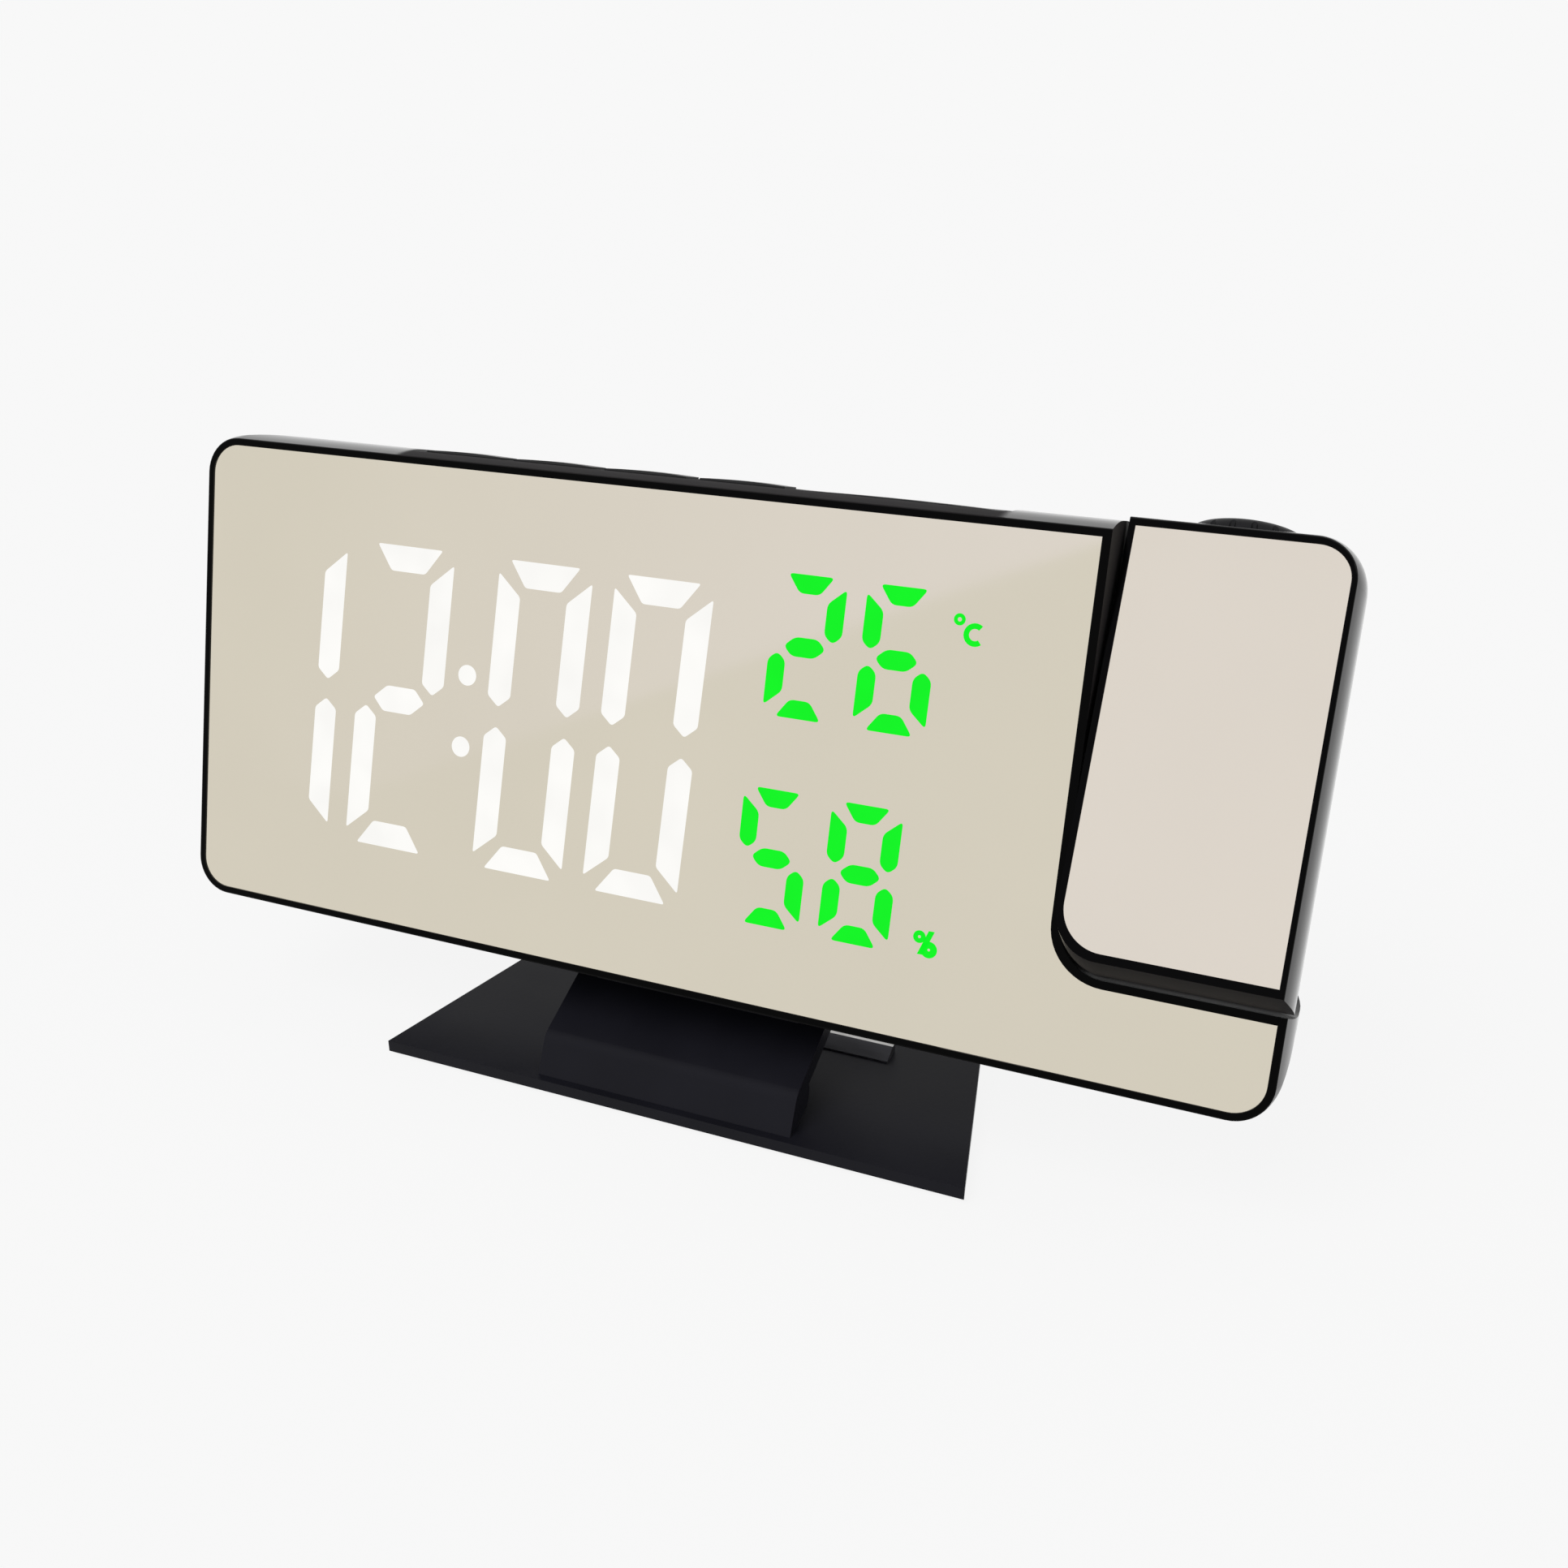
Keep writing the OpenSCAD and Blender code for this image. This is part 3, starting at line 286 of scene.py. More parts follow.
class Along(Enum):
    """What a ramp follows: an axis of the way a point faces, or of its place."""

    FACING_X = ("Normal", "X")
    FACING_Y = ("Normal", "Y")
    FACING_Z = ("Normal", "Z")
    PLACE_X = ("Object", "X")
    PLACE_Z = ("Object", "Z")


@dataclass(frozen=True)
class Ramp:
    """A rise from 0 to 1, held beyond its ends.

    Attributes:
        along: what it follows.
        zero: the figure that gives 0: a part of the normal, or a place in millimetres.
        one: the figure that gives 1. It may be the smaller of the two.
        eased: whether the ramp starts and ends gently.
    """

    along: Along
    zero: float
    one: float
    eased: bool = True


def region(tree: Tree, *ramps: Ramp) -> Socket:
    """Marks the part of a piece where every ramp is full: the product of them all.

    Args:
        tree: the node tree that it goes into.
        ramps: one or more ramps.

    Returns:
        A socket that is 1 inside the region and 0 outside.
    """
    inside = None
    for ramp in ramps:
        measure, axis = ramp.along.value
        unit = MM if measure == "Object" else 1.0
        point = add_node(tree, "TexCoord").outputs[measure]
        axes = add_node(tree, "SeparateXYZ", links={"Vector": point})
        rise = add_node(
            tree,
            "MapRange",
            {
                "interpolation_type": "SMOOTHSTEP" if ramp.eased else "LINEAR",
                "From Min": ramp.zero * unit,
                "From Max": ramp.one * unit,
            },
            {"Value": axes.outputs[axis]},
        ).outputs["Result"]
        if inside is None:
            inside = rise
        else:
            product = add_node(tree, "Math", {"operation": "MULTIPLY"}, {0: inside, 1: rise})
            inside = product.outputs["Value"]
    return inside


# ---------- finishes ----------


class Finish:
    """A finish: what is the same all over a piece, and what varies from place to place.

    Attributes:
        name: the material's name.
    """

    name: str

    def settings(self) -> Settings:
        """Gives the shader's settings that are the same all over."""
        raise NotImplementedError

    def variations(self) -> tuple[Variation, ...]:
        """Gives what varies from place to place."""
        raise NotImplementedError

    def feed(self, tree: Tree) -> Links:
        """Adds the nodes in front of the shader.

        Args:
            tree: the node tree that they go into.

        Returns:
            What feeds each of the shader's sockets that vary.
        """
        links: Links = {}
        for variation in self.variations():
            links.update(variation.feed(tree))
        return links

    def material(self) -> Material:
        """Builds the material: one Principled shader with its settings and what feeds it.

        Returns:
            The material.
        """
        material, tree = new_material(self.name)
        shader = add_node(tree, "BsdfPrincipled", self.settings(), self.feed(tree))
        add_node(tree, "OutputMaterial", links={"Surface": shader.outputs["BSDF"]})
        return material


@dataclass(frozen=True)
class MouldedPlastic(Finish):
    """ABS or acetal from a steel mould: a dark, even colour under a faint grain.

    Attributes:
        name: the material's name.
        colour: sRGB hex of the plastic.
        roughness: how far the surface scatters a reflection.
        gloss: strength of the reflection, 0.5 for the plastic's own index.
        grain_mm: width of the mould's spark-eroded grain.
        grain_depth_mm: height of that grain.
    """

    name: str
    colour: str
    roughness: float
    gloss: float = 0.5
    grain_mm: float = 0.4
    grain_depth_mm: float = 0.004
    # patches that handling has dulled: their shape, their colour and their change in roughness
    patches: ClassVar[Pattern] = Blotches(size_mm=15, detail=3)
    patch_lift: ClassVar[float] = 1.3
    patch_change: ClassVar[float] = 0.12

    def settings(self) -> Settings:
        """Gives plastic's own index and the strength of its reflection."""
        return {"IOR": PLASTIC_INDEX, "Specular IOR Level": self.gloss}

    def variations(self) -> tuple[Variation, ...]:
        """Varies colour and roughness by duller patches, and the relief by the grain.

        Returns:
            The two variations.
        """
        base = srgb(self.colour)
        return (
            Variation(
                self.patches,
                colours=(base, scaled(base, self.patch_lift)),
                roughness=give_or_take(self.roughness, self.patch_change),
            ),
            Variation(Blotches(self.grain_mm, detail=2), depth_mm=self.grain_depth_mm),
        )


@dataclass(frozen=True)
class RimPlastic(Finish):
    """ABS in three looks: a deep black front, sides with a painted reflection, and dull faces with
    a painted sheen.

    The dull faces are the ones that look down, the channel round the keys, and the flank beside
    the arm; they are rougher and carry a painted sheen. The floor of the arm's bay is as deep a
    black as the front.

    Attributes:
        name: the material's name.
        front_colour: sRGB hex of the front.
        painted_side_colour: sRGB hex of the painted reflection on the sides, seen square on.
        painted_sheen_colour: sRGB hex of the painted sheen on the dull faces, lighter than the
            front.
        roughness: how far front and sides scatter a reflection.
        dull_roughness: the same where it is dull.
        gloss: strength of the front's reflection, 0.5 for the plastic's own index.
        keys_mm: where the dull channel round the keys starts and ends along X.
        arm_mm: where the arm's bay starts along X.
        flank_mm: width of the bay in which a face turned sideways is its dull flank.
        floor_mm: height below which a face that looks up is the bay's floor.
        soft_mm: how gradually one finish gives way to the next.
    """

    name: str
    front_colour: str
    painted_side_colour: str
    painted_sheen_colour: str
    roughness: float
    dull_roughness: float
    gloss: float
    keys_mm: tuple[float, float] = (-53.0, 43.0)
    arm_mm: float = 58.0
    flank_mm: float = 14.0
    floor_mm: float = 60.0
    soft_mm: float = 2.0
    # faces that count as turned a certain way
    upward: ClassVar[Ramp] = Ramp(Along.FACING_Z, zero=0.6, one=0.85)
    downward: ClassVar[Ramp] = Ramp(Along.FACING_Z, zero=-0.3, one=-0.6)
    to_the_right: ClassVar[Ramp] = Ramp(Along.FACING_X, zero=0.3, one=0.7)
    off_the_front: ClassVar[Ramp] = Ramp(Along.FACING_Y, zero=-0.75, one=-0.4)
    # a faint orange peel over the whole piece
    peel: ClassVar[Variation] = Variation(Blotches(size_mm=1.5, detail=1), depth_mm=0.001)

    def settings(self) -> Settings:
        """Gives plastic's own index and the strength of the front's reflection."""
        return {"IOR": PLASTIC_INDEX, "Specular IOR Level": self.gloss}

    def variations(self) -> tuple[Variation, ...]:
        """Varies the relief by the orange peel."""
        return (self.peel,)

    def areas(self, tree: Tree) -> tuple[Socket, Socket]:
        """Finds the faces of each finish from where they lie and which way they look.

        A face is as dull as the dullest of its areas, and has the painted reflection where it is
        turned off the front and neither dull nor the bay's floor.

        Args:
            tree: the node tree that it goes into.

        Returns:
            A socket that is 1 on dull faces, which carry the painted sheen, and one that is 1 on
            the sides with the painted reflection.
        """
        soft = self.soft_mm
        keys_start, keys_end = self.keys_mm
        flank_end = self.arm_mm + self.flank_mm
        past_keys_start = Ramp(Along.PLACE_X, keys_start - soft, keys_start)
        before_keys_end = Ramp(Along.PLACE_X, keys_end + soft, keys_end)
        in_bay = Ramp(Along.PLACE_X, self.arm_mm - soft, self.arm_mm)
        before_flank_end = Ramp(Along.PLACE_X, flank_end + soft, flank_end)
        low = Ramp(Along.PLACE_Z, self.floor_mm + soft, self.floor_mm)
        channel = region(tree, past_keys_start, before_keys_end, self.upward)
        flank = region(tree, in_bay, before_flank_end, self.to_the_right)
        floor = region(tree, in_bay, self.upward, low)
        either = {"operation": "MAXIMUM"}
        dull_and_sheen = region(tree, self.downward)
        for area in (channel, flank):
            dull_and_sheen = add_node(tree, "Math", either, {0: dull_and_sheen, 1: area}).outputs["Value"]
        without_gleam = add_node(tree, "Math", either, {0: dull_and_sheen, 1: floor}).outputs["Value"]
        # where the sides get the painted reflection: off the front, but not on dull faces or the
        # bay's floor
        painted_gleam = add_node(
            tree,
            "Math",
            {"operation": "SUBTRACT", "use_clamp": True},
            {0: region(tree, self.off_the_front), 1: without_gleam},
        )
        return dull_and_sheen, painted_gleam.outputs["Value"]

    def feed(self, tree: Tree) -> Links:
        """Blends the deep black front, the painted sheen and the painted reflection, under the
        orange peel.

        The sides' painted reflection is carried by Metallic, which may vary over a piece.

        Args:
            tree: the node tree that it goes into.

        Returns:
            What feeds each of the shader's sockets that vary.
        """
        dull_and_sheen, painted_gleam = self.areas(tree)
        # the front's own black, the dull faces' painted sheen, and the sides' painted reflection
        front, painted_gleam_colour, painted_sheen = map(srgb, (self.front_colour, self.painted_side_colour, self.painted_sheen_colour))
        front_or_sheen = add_node(
            tree,
            "Mix",
            {"data_type": "RGBA", MIX_FIRST: front, MIX_SECOND: painted_sheen},
            {MIX_FACTOR: dull_and_sheen},
        )
        colour = add_node(
            tree,
            "Mix",
            {"data_type": "RGBA", MIX_SECOND: painted_gleam_colour},
            {MIX_FACTOR: painted_gleam, MIX_FIRST: front_or_sheen.outputs[MIXED]},
        )
        roughness = add_node(
            tree,
            "MapRange",
            {"To Min": self.roughness, "To Max": self.dull_roughness},
            {"Value": dull_and_sheen},
        )
        return super().feed(tree) | {
            "Base Color": colour.outputs[MIXED],
            "Metallic": painted_gleam,
            "Roughness": roughness.outputs["Result"],
        }


@dataclass(frozen=True)
class HalfSilveredPanel(Finish):
    """Acrylic sheet with a warm half-silver behind it: a champagne mirror, very slightly wavy.

    Attributes:
        name: the material's name.
        colour: sRGB hex of what it gives back of white.
    """

    name: str
    colour: str
    # waves that casting left in the sheet
    waves: ClassVar[Variation] = Variation(Blotches(size_mm=26, detail=0), depth_mm=0.01)
    # patches of haze: their shape, their tint, and the roughness outside and inside them
    haze: ClassVar[Pattern] = Blotches(size_mm=40, detail=3)
    haze_tint: ClassVar[float] = 0.975
    haze_roughness: ClassVar[tuple[float, float]] = (0.035, 0.07)

    def settings(self) -> Settings:
        """Makes it a mirror."""
        return {"Metallic": 1.0}

    def variations(self) -> tuple[Variation, ...]:
        """Varies colour and roughness by a breath of haze, and the relief by cast waves.

        Returns:
            The two variations.
        """
        base = srgb(self.colour)
        colours = (base, scaled(base, self.haze_tint))
        return Variation(self.haze, colours, self.haze_roughness), self.waves


@dataclass(frozen=True)
class LitStroke(Finish):
    """Light of a diode spread by a diffuser: even, and a little brighter over the diode.

    Attributes:
        name: the material's name.
        colour: sRGB hex of the light.
    """

    name: str
    colour: str
    # the film that the light comes through, hardly reflecting
    film_colour: ClassVar[str] = "#101010"
    film_gloss: ClassVar[float] = 0.05
    film_roughness: ClassVar[float] = 0.6
    # hot spots, how bright it is between them, and the strength of the light
    spots: ClassVar[Pattern] = Blotches(size_mm=7, detail=1)
    between_spots: ClassVar[float] = 0.955
    strength: ClassVar[float] = 0.98

    def settings(self) -> Settings:
        """Gives the dark film, and the strength of the light through it."""
        return {
            "Base Color": srgb(self.film_colour),
            "Roughness": self.film_roughness,
            "Specular IOR Level": self.film_gloss,
            "Emission Strength": self.strength,
        }

    def variations(self) -> tuple[Variation, ...]:
        """Varies the light by soft hot spots.

        Returns:
            The one variation.
        """
        light = srgb(self.colour)
        colours = (scaled(light, self.between_spots), light)
        return (Variation(self.spots, colours, tinted="Emission Color"),)


@dataclass(frozen=True)
class PlatedSteel(Finish):
    """Steel strip or wire with a nickel or zinc plate: grey, with drawn lines along X.

    Attributes:
        name: the material's name.
        colour: sRGB hex of the plate.
        roughness: how far the plate scatters a reflection.
        painted_side_colour: sRGB hex painted on the faces that aren't level, as shade.
        line_depth_mm: height of the drawn lines.
    """

    name: str
    colour: str
    roughness: float
    painted_side_colour: str | None = None
    line_depth_mm: float = 0.0007
    # drawn lines, and how far they change the roughness
    lines: ClassVar[Pattern] = DrawnLines(length_mm=6, width_mm=0.15)
    line_change: ClassVar[float] = 0.2
    # patches of thinner plate: their shape and their tint
    patches: ClassVar[Pattern] = Blotches(size_mm=4, detail=3)
    patch_tint: ClassVar[float] = 0.8
    # faces that count as level
    level: ClassVar[Ramp] = Ramp(Along.FACING_Z, zero=0.93, one=0.98, eased=False)

    def settings(self) -> Settings:
        """Makes it bare metal."""
        return {"Metallic": 1.0}

    def variations(self) -> tuple[Variation, ...]:
        """Varies the colour by uneven plate, and roughness and relief by drawn lines.

        Returns:
            The two variations.
        """
        base = srgb(self.colour)
        roughness = give_or_take(self.roughness, self.line_change)
        return (
            Variation(self.patches, (base, scaled(base, self.patch_tint))),
            Variation(self.lines, roughness=roughness, depth_mm=self.line_depth_mm),
        )

    def feed(self, tree: Tree) -> Links:
        """Keeps the plate to level faces, and paints the others in the side colour as shade.

        Args:
            tree: the node tree that it goes into.

        Returns:
            What feeds each of the shader's sockets that vary.
        """
        links = super().feed(tree)
        if self.painted_side_colour:
            # faces that aren't level get the darker painted shade
            links["Base Color"] = add_node(
                tree,
                "Mix",
                {"data_type": "RGBA", MIX_FIRST: srgb(self.painted_side_colour)},
                {MIX_FACTOR: region(tree, self.level), MIX_SECOND: links["Base Color"]},
            ).outputs[MIXED]
        return links


@dataclass(frozen=True)
class SolderMask(Finish):
    """Glass-epoxy laminate under green lacquer: glossy, with the weave faintly through it.

    Attributes:
        name: the material's name.
        colour: sRGB hex of the lacquer over bare laminate.
    """

    name: str = "solder_mask_green"
    colour: str = "#1C4A2C"
    # the weave's roughness across a cell, and its height
    weave: ClassVar[Variation] = Variation(
        Weave(cell_mm=0.6), roughness=(0.28, 0.36), depth_mm=0.003
    )
    # copper under the lacquer: the shape of its patches, and how much lighter it looks
    copper: ClassVar[Pattern] = Blotches(size_mm=3, detail=2)
    copper_lift: ClassVar[float] = 1.6

    def settings(self) -> Settings:
        """Gives the lacquer's own index."""
        return {"IOR": PLASTIC_INDEX}

    def variations(self) -> tuple[Variation, ...]:
        """Varies the colour by copper patches, and roughness and relief by the weave.

        Returns:
            The two variations.
        """
        base = srgb(self.colour)
        return Variation(self.copper, (base, scaled(base, self.copper_lift))), self.weave


@dataclass(frozen=True)
class ClearMoulding(Finish):
    """Clear acrylic or resin, polished: refracts, with barely visible flow lines.

    Attributes:
        name: the material's name.
        colour: sRGB hex of the tint.
        index: index of refraction.
    """

    name: str
    colour: str
    index: float = 1.49
    # flow lines: their shape, their tint, and the roughness between and on them
    flow: ClassVar[Pattern] = Blotches(size_mm=5, detail=1)
    flow_tint: ClassVar[float] = 0.94
    flow_roughness: ClassVar[tuple[float, float]] = (0.0, 0.03)

    def settings(self) -> Settings:
        """Makes it clear all through, with its own index."""
        return {"IOR": self.index, "Transmission Weight": 1.0}

    def variations(self) -> tuple[Variation, ...]:
        """Varies tint and roughness by flow lines.

        Returns:
            The one variation.
        """
        base = srgb(self.colour)
        colours = (base, scaled(base, self.flow_tint))
        return (Variation(self.flow, colours, self.flow_roughness),)


# gloss-black ABS of the rim: deep black in front, a painted dark grey reflection along the sides,
# and a painted sheen on the dull faces
GLOSS_BLACK = RimPlastic(
    "abs_gloss_black",
    front_colour="#030303",
    painted_side_colour="#343434",
    painted_sheen_colour="#272526",
    roughness=0.12,
    dull_roughness=0.6,
    gloss=0.04,
)
# satin-black ABS of the covers: the grain breaks reflections into a soft sheen
SATIN_BLACK = MouldedPlastic("abs_satin_black", "#111113", 0.4, gloss=0.2)
# the stand's moulding has a coarser grain and a colder black
STAND_BLACK = MouldedPlastic(
    "abs_grained_black", "#17171D", 0.38, gloss=0.1, grain_mm=0.5, grain_depth_mm=0.008
)
# key caps are polished by fingers, so they are smoother than the frame round them
KEY_BLACK = MouldedPlastic("abs_key_black", "#131314", 0.32, gloss=0.2)
# acetal is waxy and smooth
ACETAL_BLACK = MouldedPlastic("acetal_black", "#151516", 0.5, gloss=0.4, grain_mm=0.8)
# white polystyrene of the light wells: bright and matt
WHITE_STYRENE = MouldedPlastic("polystyrene_white", "#E8E7E2", 0.55, grain_mm=0.6)
# rubber pads: dull, dark grey and slightly dusty
PAD_RUBBER = MouldedPlastic(
    "rubber_black", "#1D1D1E", 0.8, gloss=0.3, grain_mm=0.3, grain_depth_mm=0.02
)
# half-silvered acrylic: a warm, pale mirror that the display shines through
CHAMPAGNE = HalfSilveredPanel("half_silvered_champagne", "#DBD4C3")
# diode light: a neutral white for the time, and a full green for the room's readings
WHITE_LIGHT = LitStroke("diode_white", "#FFFEFB")
GREEN_LIGHT = LitStroke("diode_green", "#07F922")
# bright nickel on the sockets and springs, duller zinc on the screws
NICKEL = PlatedSteel("steel_nickel_plated", "#C9C6BF", 0.3)
ZINC = PlatedSteel("steel_zinc_plated", "#9C9DA0", 0.38)
# the ballast bar: plate on its level top, and a darker grey painted on its sides as shade
SHADED_SIDE_STEEL = PlatedSteel(
    "steel_shaded_sides", "#BDBCBA", 0.4, painted_side_colour="#5E5E62", line_depth_mm=0.0003
)
# board laminate: green and shiny, with copper showing lighter through the lacquer
LAMINATE = SolderMask()
# the lenses are water clear, and the lamp's resin is tinted by the phosphor in it
LENS_ACRYLIC = ClearMoulding("acrylic_lens", "#F4F8F7")
LAMP_RESIN = ClearMoulding("epoxy_lamp", "#F2E08A", 1.54)


# ---------- where things are ----------


@dataclass
class UprightFrame:
    """The clock's own frame: upright, face on y = 0 and lower edge on z = 0, in millimetres.

    Attributes:
        rim_mm: width of the rim below the mirror.
        mirror_front_mm: how far the mirror lies behind the face.
        mirror_thick_mm: its thickness.
    """

    rim_mm: float = 1.25
    mirror_front_mm: float = 0.15
    mirror_thick_mm: float = 1.5

    def __post_init__(self) -> None:
        """Reads the lean from the battery door's axis and the place from the mirror's box.

        The box's least y is on the mirror's lower front edge, and its least z on the lower back
        edge.
        """
        door = next(j for j in frame["joints"] if j["name"] == "cell_door_turn")
        self.cos = door["axis"][1]
        self.sin = -door["axis"][2]
        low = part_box("mirror_panel")[0] / MM
        back = self.mirror_front_mm + self.mirror_thick_mm
        self.y0 = low.y - self.mirror_front_mm * self.cos - self.rim_mm * self.sin
        self.z0 = low.z + back * self.sin - self.rim_mm * self.cos

    def place(self, points: np.ndarray) -> np.ndarray:
        """Leans points back and stands them on the table.

        A point goes to x, y0 + y cos + z sin and z0 - y sin + z cos, where cos and sin are the
        lean's, and y0 and z0 are where the frame's own origin stands.

        Args:
            points: rows of x, y, z in the upright frame, in millimetres.

        Returns:
            The same points in the model's own frame, in metres.
        """
        x, y, z = points.T
        leaned = np.stack(
            [x, self.y0 + y * self.cos + z * self.sin, self.z0 - y * self.sin + z * self.cos], 1
        )
        return leaned * MM


# ---------- the lit display ----------


class Stroke(Enum):
    """The seven strokes of a digit."""

    TOP = "top"
    MIDDLE = "middle"
    BOTTOM = "bottom"
    UPPER_LEFT = "upper left"
    UPPER_RIGHT = "upper right"
    LOWER_LEFT = "lower left"
    LOWER_RIGHT = "lower right"


LIT_STROKES: dict[str, tuple[Stroke, ...]] = {
    "0": tuple(s for s in Stroke if s is not Stroke.MIDDLE),
    "1": (Stroke.UPPER_RIGHT, Stroke.LOWER_RIGHT),
    "2": (Stroke.TOP, Stroke.UPPER_RIGHT, Stroke.MIDDLE, Stroke.LOWER_LEFT, Stroke.BOTTOM),
    "5": (Stroke.TOP, Stroke.UPPER_LEFT, Stroke.MIDDLE, Stroke.LOWER_RIGHT, Stroke.BOTTOM),
    "6": tuple(s for s in Stroke if s is not Stroke.UPPER_RIGHT),
    "8": tuple(Stroke),
}


@dataclass
class Pane:
    """Flat outlines, raised off the mirror's face by a hair, gathered into one mesh.

    Attributes:
        upright: the clock's own frame.
        sunk_mm: how deep they reach into the sheet.
        proud_mm: how far they stand out of it.
        soft_mm: width of the rounded edge.
        corner_mm: how far from a corner its rounding starts.
    """

    upright: UprightFrame
    sunk_mm: float = 0.05
    proud_mm: float = 0.02
    soft_mm: float = 0.04
    corner_mm: float = 0.0
    # points to a rounded corner, and the most of an edge that a corner may take
    corner_points: ClassVar[int] = 5
    edge_share: ClassVar[float] = 0.4
    # a band is cut every 15 degrees, and into six pieces at least
    band_step_deg: ClassVar[float] = 15
    band_pieces: ClassVar[int] = 6

    def __post_init__(self) -> None:
        """Starts with no outlines."""
        self.points: list[np.ndarray] = []
        self.faces: list[tuple[int, ...]] = []
        self.count = 0

    def rounded(self, outline: np.ndarray) -> np.ndarray:
        """Rounds a convex outline's corners.

        A corner p becomes the parabola (1 - t)^2 a + 2 t (1 - t) p + t^2 b, where a and b lie
        corner_mm, or edge_share of the edge if that is less, before and after p.

        Args:
            outline: corners in order, as rows of x and z.

        Returns:
            The new outline, with corner_points points for each corner.
        """
        ahead = np.roll(outline, -1, 0) - outline
        length = np.linalg.norm(ahead, axis=1, keepdims=True)
        step = ahead * np.minimum(self.corner_mm / length, self.edge_share)
        before, corner, after = (
            points[:, None] for points in (outline - np.roll(step, 1, 0), outline, outline + step)
        )
        t = np.linspace(0, 1, self.corner_points)[None, :, None]
        curve = (1 - t) ** 2 * before + 2 * t * (1 - t) * corner + t**2 * after
        return curve.reshape(-1, 2)

    def inset(self, outline: np.ndarray, width: float) -> np.ndarray:
        """Moves a convex outline's edges inwards.

        Each corner p moves by width * (n1 + n2) / (1 + n1 . n2), where n1 and n2 are the inward
        normals of the two edges that meet there.

        Args:
            outline: corners in order, anticlockwise, as rows of x and z.
            width: how far the edges move.

        Returns:
            The moved corners.
        """
        edge = np.roll(outline, -1, 0) - outline
        edge /= np.linalg.norm(edge, axis=1, keepdims=True)
        after = np.stack([-edge[:, 1], edge[:, 0]], 1)
        before = np.roll(after, 1, 0)
        scale = 1 + np.sum(before * after, 1, keepdims=True)
        return outline + width * (before + after) / scale

    def add(self, outline: np.ndarray) -> None:
        """Adds one convex outline as a thin plate with a softened front edge.

        The plate is a closed stack of three rings: the outline in the sheet, again just in front
        of it, and moved in by soft_mm at the front.

        Args:
            outline: corners in order, as rows of x and z, in either direction.
        """
        x, z = outline.T
        if np.sum(x * np.roll(z, -1) - np.roll(x, -1) * z) < 0:
            outline = outline[::-1]
        if self.corner_mm:
            outline = self.rounded(outline)
        face_y = self.upright.mirror_front_mm
        levels = (
            (0.0, face_y + self.sunk_mm),
            (0.0, face_y - self.proud_mm / 2),
            (self.soft_mm, face_y - self.proud_mm),
        )
        corners = len(outline)
        for width, y in levels:
            ring = self.inset(outline, width)
            self.points.append(np.stack([ring[:, 0], np.full(corners, y), ring[:, 1]], 1))
        start = self.count
        index = np.arange(corners)
        following = (index + 1) % corners
        for level in range(len(levels) - 1):
            low = start + level * corners
            high = low + corners
            sides = np.stack([low + index, low + following, high + following, high + index], 1)
            self.faces.extend(map(tuple, sides))
        self.faces.append(tuple(start + index[::-1]))
        self.faces.append(tuple(start + (len(levels) - 1) * corners + index))
        self.count += len(levels) * corners

    def band(
        self, centre: tuple[float, float], inner: float, outer: float, turn: tuple[float, float]
    ) -> None:
        """Adds part of a flat ring as a row of convex pieces.

        A point on it is centre + r * (cos a, sin a), with r from inner to outer and a along turn.

        Args:
            centre: x and z of its middle.
            inner: inner radius.
            outer: outer radius.
            turn: first and last angle, in degrees.
        """
        steps = max(self.band_pieces, int(abs(turn[1] - turn[0]) / self.band_step_deg))
        angle = np.radians(np.linspace(turn[0], turn[1], steps + 1))
        ray = np.stack([np.cos(angle), np.sin(angle)], 1)
        rings = [np.array(centre) + radius * ray for radius in (inner, outer)]
        for i in range(steps):
            self.add(np.array([rings[0][i], rings[1][i], rings[1][i + 1], rings[0][i + 1]]))

    def make(self, name: str, finish: LitStroke) -> bpy.types.Object:
        """Makes the gathered outlines one piece that rides on the clock.

        Args:
            name: the piece's name.
            finish: what it is lit with.

        Returns:
            The piece.
        """
        mesh = bpy.data.meshes.new(name)
        mesh.from_pydata(self.upright.place(np.concatenate(self.points)), [], self.faces)
        mesh.materials.append(finish.material())
        mesh.validate()
        piece = bpy.data.objects.new(name, mesh)
        bpy.context.scene.collection.objects.link(piece)
        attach(piece, "clock")
        LOG.info("%s: %d faces", name, len(mesh.polygons))
        return piece


